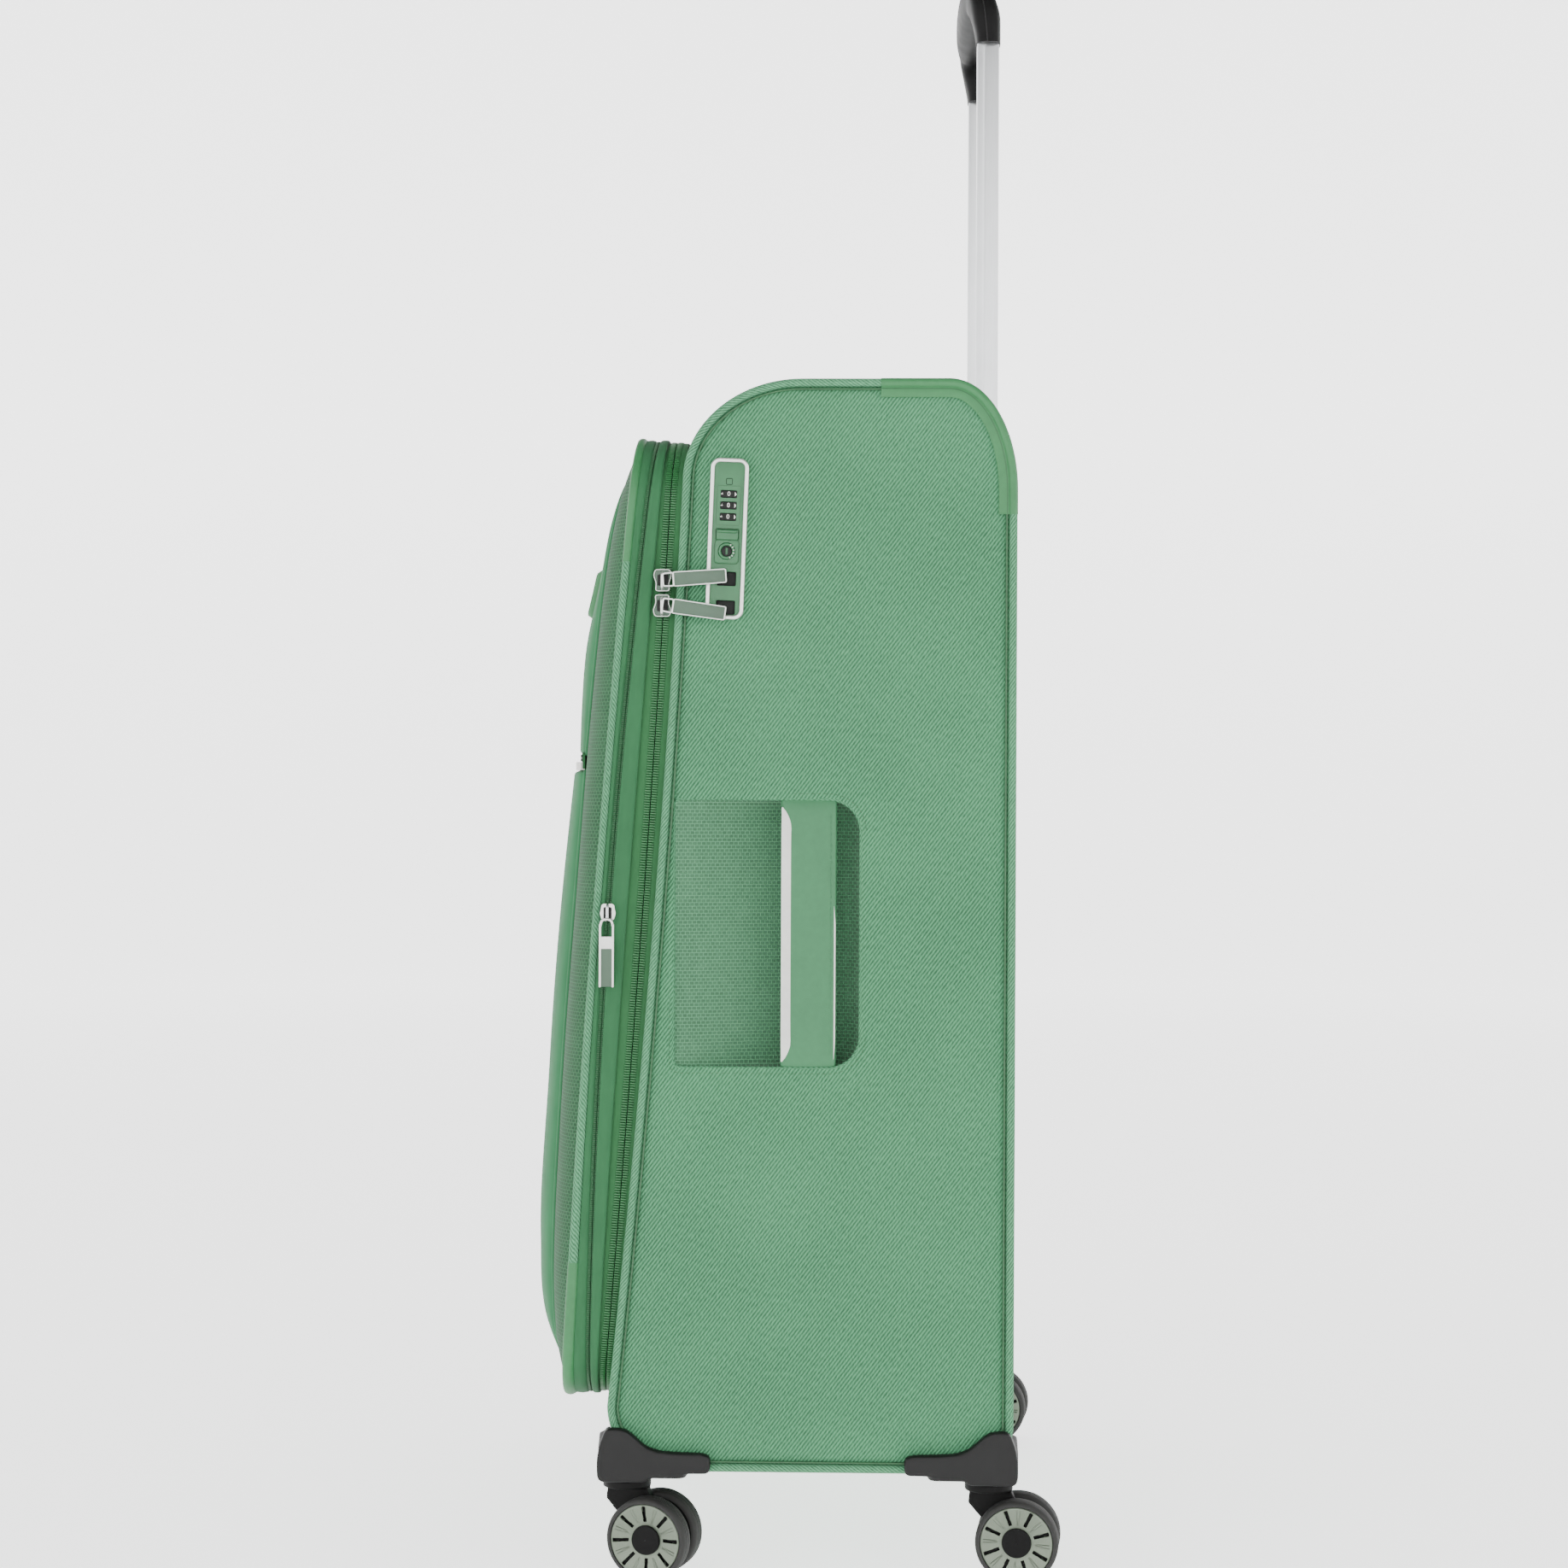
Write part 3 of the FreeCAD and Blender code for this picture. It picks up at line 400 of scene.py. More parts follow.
def stitches(name, path, outward, long=2.7, gap=1.3, thick=0.55, lift=0.0, closed=False):
    """A row of thread stitches along a path."""
    path = np.asarray(path, float)
    outward = np.broadcast_to(np.asarray(outward, float), path.shape)
    if closed:
        path = np.concatenate([path, path[:1]])
        outward = np.concatenate([outward, outward[:1]])
    run = lengths(path)
    count = int(run[-1] / (long + gap))
    at = (np.arange(count) + 0.5) * run[-1] / count
    origins = np.stack([np.interp(at, run, path[:, c]) for c in range(3)], 1)
    ahead = np.stack([np.interp(at + 0.5, run, path[:, c]) for c in range(3)], 1)
    behind = np.stack([np.interp(at - 0.5, run, path[:, c]) for c in range(3)], 1)
    tangent = unit(ahead - behind)
    out = np.stack([np.interp(at, run, outward[:, c]) for c in range(3)], 1)
    out = unit(out - (out * tangent).sum(1)[:, None] * tangent)
    axes = np.stack([tangent, np.cross(tangent, out), out], 1)
    shape, faces = bead(long, thick, thick)
    return scatter(name, shape, faces, origins + lift * out, axes)


def carve(item, *cutters):
    """Cut other solids out of item for good."""
    for cutter in cutters:
        tool = item.modifiers.new("cut", "BOOLEAN")
        tool.operation = "DIFFERENCE"
        tool.solver = "EXACT"
        tool.object = cutter
    settle(item)
    for cutter in cutters:
        bpy.data.objects.remove(cutter)
    return item


def settle(item):
    """Apply item's modifiers."""
    graph = bpy.context.evaluated_depsgraph_get()
    graph.update()
    mesh = bpy.data.meshes.new_from_object(item.evaluated_get(graph), preserve_all_data_layers=True,
                                           depsgraph=graph)
    item.modifiers.clear()
    old, item.data = item.data, mesh
    bpy.data.meshes.remove(old)
    mesh.name = item.name
    mesh.set_sharp_from_angle(angle=math.radians(50))
    return item


def join(name, items):
    """One object from several, keeping their materials."""
    for other in bpy.context.view_layer.objects:
        other.select_set(False)
    for item in items:
        item.select_set(True)
    bpy.context.view_layer.objects.active = items[0]
    bpy.ops.object.join()
    items[0].name = items[0].data.name = name
    return items[0]


def melt(item, voxel=0.8, rounds=6, factor=0.5):
    """Fuse a piece's parts into one skin with soft moulded edges."""
    remesh = item.modifiers.new("melt", "REMESH")
    remesh.mode = "VOXEL"
    remesh.voxel_size = voxel * MM
    relax = item.modifiers.new("relax", "SMOOTH")
    relax.factor, relax.iterations = factor, rounds
    settle(item)
    item.data.polygons.foreach_set("use_smooth", [True] * len(item.data.polygons))
    return item


def finish_piece(item, look, body, replaces=()):
    """Give a piece its material, its body and the CAD nodes it stands for."""
    if look is not None:
        item.data.materials.clear()
        item.data.materials.append(look)
    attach(item, body)
    if replaces:
        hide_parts(*replaces)
    return item


# ---------------------------------------------------------------- materials
class Look:
    """A material with short ways to add nodes."""

    def __init__(self, name, rough=0.6, metal=0.0, sheen=0.0, coat=0.0, specular=0.5):
        self.material = bpy.data.materials.new(name)
        self.material.use_nodes = True
        self.tree = self.material.node_tree
        self.shader = self.tree.nodes["Principled BSDF"]
        self.put(self.shader, {"Roughness": rough, "Metallic": metal, "Sheen Weight": sheen,
                               "Coat Weight": coat, "Specular IOR Level": specular})

    def put(self, node, values):
        for key, value in values.items():
            socket = node.inputs[key]
            if isinstance(value, bpy.types.NodeSocket):
                self.tree.links.new(value, socket)
            else:
                socket.default_value = value
        return node

    def node(self, kind, values=None, **settings):
        node = self.tree.nodes.new("ShaderNode" + kind)
        for key, value in settings.items():
            setattr(node, key, value)
        return self.put(node, values or {})

    def math(self, operation, a, b=0.0, c=0.0):
        node = self.node("Math", operation=operation)
        return self.put(node, {0: a, 1: b, 2: c}).outputs[0]

    def weave(self):
        """The piece's own cloth coordinates, in millimetres."""
        return self.node("UVMap", uv_map="weave").outputs[0]

    def place(self):
        """The piece's place in the frame, in millimetres."""
        spot = self.node("TexCoord").outputs["Object"]
        return self.node("VectorMath", {0: spot, "Scale": 1 / MM}, operation="SCALE").outputs[0]

    def noise(self, spot, size, detail=2.0, stretch=None):
        """Noise from 0 to 1 whose lumps are about size millimetres; stretch scales each axis."""
        if stretch:
            spot = self.node("Mapping", {"Vector": spot, "Scale": stretch}).outputs[0]
        return self.node("TexNoise", {"Vector": spot, "Scale": 1 / size, "Detail": detail}).outputs["Fac"]

    def stripes(self, spot, pitch, lean=0.0):
        """Even stripes from 0 to 1, pitch millimetres apart, turned lean degrees from upright."""
        turned = self.node("Mapping", {"Vector": spot, "Rotation": (0, 0, math.radians(lean))}).outputs[0]
        wave = self.node("TexWave", {"Vector": turned, "Scale": math.tau / 20 / pitch},
                         wave_type="BANDS", bands_direction="X", wave_profile="SIN")
        return wave.outputs["Fac"]

    def blend(self, factor, low, high):
        """Between two colours or values by factor."""
        mix = self.node("Mix", data_type="RGBA")
        return self.put(mix, {0: factor, 6: (*low, 1.0), 7: (*high, 1.0)}).outputs[2]

    def bump(self, height, depth, strength=1.0, under=None):
        """Relief depth millimetres high, over another relief if given."""
        values = {"Height": height, "Distance": depth * MM, "Strength": strength}
        if under is not None:
            values["Normal"] = under
        return self.node("Bump", values).outputs[0]

    def done(self, colour, normal=None):
        self.put(self.shader,
                 {"Base Color": colour if isinstance(colour, bpy.types.NodeSocket) else (*colour, 1.0)})
        if normal is not None:
            self.put(self.shader, {"Normal": normal})
        return self.material


def shade(colour, factor):
    return tuple(c * factor for c in colour)


def twill(name, colour, pitch=2.0, lean=37.0, depth=0.4):
    """Heathered twill: slanting ribs broken into yarn segments, with lighter and darker yarns."""
    look = Look(name, rough=0.9, sheen=0.04, specular=0.2)
    spot = look.weave()
    ribs = look.stripes(spot, pitch, lean)
    yarns = look.stripes(spot, pitch * 0.55, lean - 62.0)
    heather = look.noise(spot, 1.1, 2.0, (1.0, 0.35, 1.0))
    cloud = look.noise(look.place(), 90.0, 3.0)
    relief = look.math("MULTIPLY_ADD", yarns, 0.35, ribs)
    mixed = look.math("MULTIPLY_ADD", heather, 1.1, look.math("MULTIPLY", ribs, 0.8))
    mixed = look.math("MULTIPLY_ADD", cloud, 0.35, look.math("ADD", mixed, -0.6))
    base = look.blend(mixed, shade(colour, 0.46), shade(colour, 1.5))
    return look.done(base, look.bump(relief, depth, 0.8))


def knit(name, colour, cell=(2.9, 2.3), hole_shade=0.45):
    """Spacer mesh: staggered rows of small holes between raised yarns, the holes painted darker as shade."""
    look = Look(name, rough=0.85, sheen=0.05, specular=0.25)
    spot = look.weave()
    brick = look.node("TexBrick", {"Vector": spot, "Scale": 1.0,
                                   "Brick Width": cell[0], "Row Height": cell[1],
                                   "Mortar Size": 0.42, "Mortar Smooth": 0.9, "Bias": 0.0,
                                   "Color1": (0, 0, 0, 1), "Color2": (0.12, 0.12, 0.12, 1),
                                   "Mortar": (1, 1, 1, 1)})
    yarn = brick.outputs["Color"]
    fine = look.noise(spot, 0.7, 2.0)
    cloud = look.noise(look.place(), 60.0, 2.0)
    level = look.math("MULTIPLY_ADD", fine, 0.3, yarn)
    level = look.math("MULTIPLY_ADD", cloud, 0.25, look.math("ADD", level, -0.2))
    # The holes take the darker colour: painted shade inside the holes, with the raised yarns lighter.
    base = look.blend(level, shade(colour, hole_shade), shade(colour, 1.3))
    return look.done(base, look.bump(level, 0.5, 0.9))


def plain_cloth(name, colour, pitch=0.55, depth=0.06, rough=0.75):
    """Fine plain-weave cloth."""
    look = Look(name, rough=rough, sheen=0.04, specular=0.25)
    spot = look.weave()
    warp = look.stripes(spot, pitch, 0.0)
    weft = look.stripes(spot, pitch, 90.0)
    grid = look.math("MULTIPLY", warp, weft)
    slub = look.noise(spot, 3.5, 3.0, (1.0, 0.15, 1.0))
    cloud = look.noise(look.place(), 70.0, 3.0)
    level = look.math("MULTIPLY_ADD", slub, 0.8, look.math("MULTIPLY", grid, 0.35))
    level = look.math("MULTIPLY_ADD", cloud, 0.5, look.math("ADD", level, -0.35))
    base = look.blend(level, shade(colour, 0.78), shade(colour, 1.2))
    return look.done(base, look.bump(grid, depth, 0.7))


def leatherette(name, colour, rough=0.55, depth=0.1):
    """Smooth synthetic leather with a fine pebble grain."""
    look = Look(name, rough=rough, specular=0.35)
    spot = look.place()
    grain = look.node("TexVoronoi", {"Vector": spot, "Scale": 1 / 0.9, "Randomness": 1.0},
                      feature="SMOOTH_F1").outputs["Distance"]
    cloud = look.noise(spot, 25.0, 3.0)
    rub = look.noise(spot, 4.0, 4.0)
    level = look.math("MULTIPLY_ADD", rub, 0.5, look.math("MULTIPLY", cloud, 0.6))
    base = look.blend(level, shade(colour, 0.8), shade(colour, 1.22))
    return look.done(base, look.bump(grain, depth, 0.5))


def moulded(name, colour, rough=0.5, grain=0.05, size=0.7, specular=0.5):
    """Moulded plastic with fine spark-eroded texture and faint handling marks."""
    look = Look(name, rough=rough, specular=specular)
    spot = look.place()
    fine = look.noise(spot, size, 3.0)
    wear = look.noise(spot, 18.0, 4.0)
    base = look.blend(wear, shade(colour, 0.75), shade(colour, 1.35))
    patchy = look.math("MULTIPLY_ADD", wear, 0.2, rough - 0.1)
    look.put(look.shader, {"Roughness": patchy})
    return look.done(base, look.bump(fine, grain, 0.6))


def metal(name, colour, rough=0.3, brushed=(1.0, 1.0, 0.02), depth=0.01, metallic=1.0):
    """Brushed or cast metal; brushed stretches the marks along one axis."""
    look = Look(name, rough=rough, metal=metallic)
    spot = look.place()
    lines = look.noise(spot, 0.35, 3.0, brushed)
    smudge = look.noise(spot, 14.0, 3.0)
    base = look.blend(lines, shade(colour, 0.88), shade(colour, 1.08))
    patchy = look.math("MULTIPLY_ADD", smudge, 0.16, rough - 0.08)
    look.put(look.shader, {"Roughness": patchy})
    return look.done(base, look.bump(lines, depth, 0.5))


GREEN = (0.049, 0.171, 0.083)
LOOKS = {
    "twill": twill("twill", GREEN),
    "piping": twill("piping_twill", (0.063, 0.202, 0.102), pitch=1.7),
    "recess_mesh": knit("recess_mesh", (0.068, 0.201, 0.103)),
    "mesh": knit("lid_mesh", (0.023, 0.103, 0.041)),
    "front": plain_cloth("front_cloth", (0.025, 0.139, 0.054)),
    "band": plain_cloth("gusset_cloth", (0.018, 0.100, 0.036), pitch=0.4, depth=0.03),
    "trim": leatherette("trim_leatherette", (0.024, 0.134, 0.044), rough=0.5),
    "strap": leatherette("strap_leatherette", (0.028, 0.133, 0.054)),
    "white": leatherette("pale_trim", (0.54, 0.54, 0.51), rough=0.6, depth=0.05),
    "thread": plain_cloth("thread", (0.045, 0.160, 0.075), pitch=0.3),
    "coil": moulded("coil_nylon", (0.014, 0.104, 0.028), rough=0.4, size=0.4),
    "tape": plain_cloth("zip_tape", (0.019, 0.100, 0.032), pitch=0.5, depth=0.08),
    "rib": moulded("rib_nylon", (0.011, 0.068, 0.021), rough=0.5),
    "lining": plain_cloth("lining_cloth", (0.13, 0.135, 0.14), pitch=0.5),
    "lock_plate": moulded("lock_enamel", (0.017, 0.106, 0.037), rough=0.42, size=1.4),
    "enamel": moulded("puller_enamel", (0.035, 0.072, 0.043), rough=0.4, size=1.2),
    "pale_metal": metal("pale_metal", (0.62, 0.63, 0.6), rough=0.32, brushed=(1.0, 1.0, 1.0), metallic=0.9),
    "steel": metal("steel", (0.55, 0.56, 0.57), rough=0.28, brushed=(0.05, 1.0, 1.0)),
    "tube": metal("tube_aluminium", (0.6, 0.61, 0.62), rough=0.36),
    "dial": moulded("dial_plastic", (0.5, 0.52, 0.5), rough=0.4),
    # Real black for dial wheels, marks, key core and zipper teeth; also the painted shade under the slider
    # bridges.
    "ink_and_shade": moulded("dial_ink_and_shade", (0.008, 0.009, 0.008), rough=0.6, specular=0.2),
    "black": moulded("black_plastic", (0.003, 0.003, 0.003), rough=0.5, specular=0.1),
    "housing": moulded("housing_plastic", (0.004, 0.004, 0.004), rough=0.55, grain=0.08, specular=0.25),
    "rim": metal("rim_paint", (0.137, 0.161, 0.125), rough=0.42, metallic=0.85),
    "tyre": moulded("tyre_rubber", (0.018, 0.018, 0.017), rough=0.75, size=0.5, specular=0.3),
}


# ---------------------------------------------------------------- camera and studio
FOCAL = 3640 / 1836                    # lens length as a share of the picture's width


def make_camera():
    data = bpy.data.cameras.new("camera")
    data.sensor_width = 36.0
    data.lens = 36.0 * FOCAL
    item = bpy.data.objects.new("camera", data)
    bpy.context.scene.collection.objects.link(item)
    item.location = (2.218, 0.0477, 0.517)
    yaw, pitch, roll = math.radians(1.605), math.radians(0.173), math.radians(0.25)
    ahead = Vector((-math.cos(yaw) * math.cos(pitch), -math.sin(yaw) * math.cos(pitch), -math.sin(pitch)))
    turn = ahead.to_track_quat("-Z", "Y").to_matrix() @ Matrix.Rotation(roll, 3, "Z")
    item.rotation_euler = turn.to_euler()
    bpy.context.scene.camera = item


def make_studio():
    """A pale floor that turns up into a wall far away all round, a bright open top, and soft lamps."""
    profile = [(r, 0.0) for r in np.linspace(0.02, 5.5, 24)]
    profile += [(5.5 + 1.5 * math.sin(a), 1.5 - 1.5 * math.cos(a))
                for a in np.radians(np.linspace(8, 90, 12))]
    profile += [(7.0, 3.0), (7.0, 4.5)]
    count = 96
    points, faces = [(0.0, 0.0, 0.0)], [[0, 1 + k, 1 + (k + 1) % count] for k in range(count)]
    for radius, height in profile:
        for k in range(count):
            angle = math.tau * k / count
            points.append((radius * math.cos(angle), radius * math.sin(angle), height))
    for row in range(len(profile) - 1):
        for k in range(count):
            a, b = 1 + row * count + k, 1 + row * count + (k + 1) % count
            faces.append([a, a + count, b + count, b])
    mesh = bpy.data.meshes.new("studio_floor")
    mesh.from_pydata(points, [], faces)
    mesh.polygons.foreach_set("use_smooth", [True] * len(faces))
    floor = bpy.data.objects.new("studio_floor", mesh)
    bpy.context.scene.collection.objects.link(floor)
    look = Look("studio_paint", rough=0.8, specular=0.2)
    look.put(look.shader, {"Emission Color": (1.0, 1.0, 1.0, 1.0), "Emission Strength": 1.7})
    cloud = look.noise(look.place(), 900.0, 2.0)
    mesh.materials.append(look.done(look.blend(cloud, (0.82, 0.82, 0.82), (0.86, 0.86, 0.86))))
    world = bpy.data.worlds.new("studio_world")
    world.use_nodes = True
    world.node_tree.nodes["Background"].inputs[0].default_value = (1.0, 1.0, 1.0, 1.0)
    world.node_tree.nodes["Background"].inputs[1].default_value = 0.3
    bpy.context.scene.world = world
    for name, spot, size, power in (("key", (2.6, -1.4, 2.6), 2.2, 24.0), ("fill", (2.4, 2.6, 1.6), 2.4, 8.0),
                                    ("back", (-2.6, 0.6, 2.6), 2.4, 9.0),
                                    ("top", (0.2, 0.0, 3.4), 2.6, 10.0)):
        lamp = bpy.data.lights.new(name, "AREA")
        lamp.size, lamp.energy = size, power
        item = bpy.data.objects.new(name, lamp)
        bpy.context.scene.collection.objects.link(item)
        item.location = spot
        item.rotation_euler = (Vector((0, 0, 0.4)) - Vector(spot)).to_track_quat("-Z", "Y").to_euler()


make_camera()
make_studio()


# ---------------------------------------------------------------- body covers
def ripple(a, b, seed, size=70.0):
    """Slow waves between -1 and 1 over a surface, as cloth over foam has."""
    total = 0.0
    for k in range(4):
        turn = seed * 1.7 + k * 2.1
        scale = math.tau / (size * (1.0 + 0.45 * k))
        total = total + np.sin((a * math.cos(turn) + b * math.sin(turn)) * scale + seed * 3.1 + k) / (k + 1.5)
    return total / 1.6


RECESS_LOW, RECESS_HIGH, RECESS_FRONT, RECESS_REAR = 329.5, 501.0, -78.0, 41.0
RECESS_CORNER = 20.0


def recess_outline(grow=0.0):
    """The hole behind the side handle as (y, z) points: square at the front, round at the rear."""
    points = []
    for corner_y, corner_z, radius, start in (
            (RECESS_REAR, RECESS_HIGH, RECESS_CORNER, 0), (RECESS_FRONT, RECESS_HIGH, 4.0, 90),
            (RECESS_FRONT, RECESS_LOW, 4.0, 180), (RECESS_REAR, RECESS_LOW, RECESS_CORNER, 270)):
        sign_y = 1 if corner_y > 0 else -1
        sign_z = 1 if corner_z > 400 else -1
        center = (corner_y - sign_y * radius, corner_z - sign_z * radius)
        for angle in np.radians(np.linspace(start, start + 90, 10)):
            points.append((center[0] + (radius + grow) * math.cos(angle),
                           center[1] + (radius + grow) * math.sin(angle)))
    return np.array(points)


def prism(name, outline, low, high, axis=0):
    """A plain straight solid, used as a cutter."""
    grid = np.zeros((2, len(outline), 3))
    others = [k for k in range(3) if k != axis]
    for row, level in enumerate((low, high)):
        grid[row][:, others] = outline
        grid[row][:, axis] = level
    return loft(name, grid)


def panel_x(y, z):
    """How far the side panels stand from the middle: a soft crown that dips at the piping."""
    edges = (y - front_edge(z, -3.0), back_edge(z, -3.0) - y, z - BOTTOM - 3.0, TOP - 3.0 - z)
    rise = 1.0
    for gap in edges:
        rise = rise * (1 - np.exp(-np.maximum(gap, 0) / 9.0))
    return HALF - 2.0 + 2.9 * rise + 0.45 * rise * ripple(y, z, 1.0, 110.0)


def make_side_panels():
    t = np.linspace(0, 1, 150)
    z = BOTTOM + 3.2 + (TOP - BOTTOM - 6.4) * (0.55 * t + 0.45 * (0.5 - 0.5 * np.cos(math.pi * t)))
    s = 0.5 - 0.5 * np.cos(math.pi * np.linspace(0, 1, 64))
    zz = np.repeat(z[:, None], len(s), 1)
    first, last = front_edge(z, -3.0)[:, None], back_edge(z, -3.0)[:, None]
    yy = first + (last - first) * s[None]
    x = panel_x(yy, zz)
    for side, name in ((1, "right"), (-1, "left")):
        outer = np.stack([side * x, yy, zz], -1)
        inner = np.stack([side * (x - 2.2), yy, zz], -1)
        item = skin(f"side_panel_{name}", outer, inner, np.stack([side * yy, zz], -1))
        if side > 0:
            carve(item, prism("cutter", recess_outline(), 200.0, 260.0))
        finish_piece(item, LOOKS["twill"], "root")


def make_wrap():
    """The cover that goes round the body between the two side panels, with its openings."""
    points, normals = side_outline()
    run = lengths(points, True)
    across = np.linspace(-1, 1, 57)
    x = 228.0 * across
    dip = 1 - np.exp(-(228.0 - np.abs(x)) / 8.0)
    puff = -1.6 + 1.9 * dip[:, None] + 0.4 * dip[:, None] * ripple(x[:, None], run[None, :-1], 2.0, 120.0)
    outer = np.zeros((len(x), len(points), 3))
    outer[..., 0] = x[:, None]
    outer[..., 1:] = points[None] + puff[..., None] * normals[None]
    inner = outer.copy()
    inner[..., 1:] -= 2.2 * normals[None]
    weave = np.stack(np.meshgrid(run, x), -1)[..., ::-1]
    item = skin("wrap_cover", outer, inner, weave, loop_columns=True)
    outline, normal = lid_outline()
    mouth = prism("mouth_cutter", outline - 15.0 * normal, -200.0, -20.0, axis=1)
    dock = prism("dock_cutter", rounded(112.0, 19.0, 6.0) + (0.0, 119.5), 705.0, 900.0, axis=2)
    tray = prism("tray_cutter", rounded(94.0, 26.0, 14.0) + (0.0, 40.0), 740.0, 900.0, axis=2)
    carve(item, mouth, dock, tray)
    finish_piece(item, LOOKS["twill"], "root", ["body_shell"])


def make_lining():
    """The smooth inside of the main compartment."""
    points, normals = side_outline()
    points, normals = points[::3], normals[::3]
    run = lengths(points, True)
    across = np.linspace(-225.8, 225.8, 9)
    grids = []
    for depth in (4.6, 5.6):
        grid = np.zeros((len(across), len(points), 3))
        grid[..., 0] = across[:, None]
        grid[..., 1:] = points - depth * normals
        grids.append(grid)
    item = skin("main_lining", grids[0], grids[1], flat_weave(run, across), loop_columns=True)
    sides = [prism(f"lining_side_{side}", points - 4.8 * normals, side * 225.2 - 0.5, side * 225.2 + 0.5)
             for side in (-1, 1)]
    item = join("main_lining", [item] + sides)
    outline, normal = lid_outline()
    carve(item, prism("lining_cutter", outline - 15.0 * normal, -200.0, -20.0, axis=1))
    finish_piece(item, LOOKS["lining"], "root")


def stretch(points, normals, keep):
    """The one run of a closed outline where keep is true."""
    start = int(np.flatnonzero(keep & ~np.roll(keep, 1))[0])
    keep = np.roll(keep, -start)
    return np.roll(points, -start, 0)[keep], np.roll(normals, -start, 0)[keep]


def side_path(x, points, normals, grow=0.0):
    path = np.column_stack([np.full(len(points), x), points + grow * normals])
    return path, np.column_stack([np.zeros(len(points)), normals])


def make_body_piping():
    points, normals = side_outline()
    corner = stretch(points, normals, (points[:, 0] > 50) & (points[:, 1] > 678))
    for side, name in ((1, "right"), (-1, "left")):
        x = side * (HALF - 1.25)
        path, outward = side_path(x, points, normals, -1.25)
        cord = sweep(f"edge_cord_{name}", path, outward, circle(2.75, 14), closed=True)
        finish_piece(cord, LOOKS["piping"], "root", ["body_piping"])
        # A thin dark cord laid in the crease where the piping meets the side panel: painted shade along the
        # crease.
        seam = path - outward * 4.1 + (side * 1.55, 0, 0)
        piping_crease_shade = sweep(f"edge_crease_shade_{name}", seam, outward, circle(0.75, 8), closed=True)
        finish_piece(piping_crease_shade, LOOKS["rib"], "root")
        path, outward = side_path(x, *corner, -1.25)
        trim = sweep(f"corner_trim_{name}", path, outward, circle(3.05, 14))
        flange = np.array([(-2.0, -1.6), (-5.0, -2.5), (-8.6, -2.7), (-9.4, -2.2), (-9.0, -1.0), (-2.0, 0.5)])
        flap = sweep(f"corner_flap_{name}", path, outward, flange * (1, side))
        trim = join(f"corner_trim_{name}", [trim, flap])
        finish_piece(trim, LOOKS["trim"], "root")


def make_recess():
    """The spacer-mesh hollow behind the side handle."""
    y = np.concatenate([np.linspace(-80, -6, 40), np.linspace(-4, 24, 12), np.linspace(25.5, 43.5, 26)])
    z = np.concatenate([np.linspace(327, 345, 24), np.linspace(350, 480, 28), np.linspace(485.5, 503.5, 24)])
    yy, zz = np.meshgrid(y, z)
    half_y, half_z = (RECESS_REAR - RECESS_FRONT) / 2, (RECESS_HIGH - RECESS_LOW) / 2
    mid_y, mid_z = (RECESS_REAR + RECESS_FRONT) / 2, (RECESS_HIGH + RECESS_LOW) / 2
    radius = np.where(yy > 0, RECESS_CORNER, 4.0)
    qy, qz = np.abs(yy - mid_y) - half_y + radius, np.abs(zz - mid_z) - half_z + radius
    inset = radius - np.hypot(np.maximum(qy, 0), np.maximum(qz, 0)) - np.minimum(np.maximum(qy, qz), 0)
    wall = np.sqrt(1 - (1 - np.clip(inset / 11.0, 0, 1)) ** 2)
    slope = smooth(RECESS_FRONT - 6, 0.0, yy) ** 0.9
    depth = 21.5 * wall * slope
    depth += 0.35 * wall * ripple(yy, zz, 3.0, 60.0)
    x = HALF - 1.2 - depth
    outer = np.stack([x, yy, zz], -1)
    inner = outer - (1.6, 0, 0)
    item = skin("recess_mesh", outer, inner, np.stack([yy, zz], -1))
    finish_piece(item, LOOKS["recess_mesh"], "root", ["side_recess"])
    hole = recess_outline(0.4)
    path = np.column_stack([panel_x(hole[:, 0], hole[:, 1]) - 0.9, hole])
    outward = np.tile((1.0, 0, 0), (len(hole), 1))
    hem = sweep("recess_hem", path, outward, circle(1.1, 8), closed=True)
    finish_piece(hem, LOOKS["twill"], "root")
    line = recess_outline(3.8)
    keep = line[:, 0] > RECESS_FRONT - 3
    line = line[keep]
    path = np.column_stack([panel_x(line[:, 0], line[:, 1]) + 0.05, line])
    thread = stitches("recess_stitches", path, (1.0, 0, 0), 2.2, 1.6, 0.5)
    finish_piece(thread, LOOKS["rib"], "root")


STRAP_FRONT, STRAP_REAR = -9.7, 25.8


def strap_x(z):
    """Outer face of the side strap: a low arch whose ends tuck under the cover."""
    end = np.minimum(z - RECESS_LOW, RECESS_HIGH - z)
    return HALF + 2.4 - 4.2 * np.exp(-np.maximum(end + 3.0, 0) / 6.0)


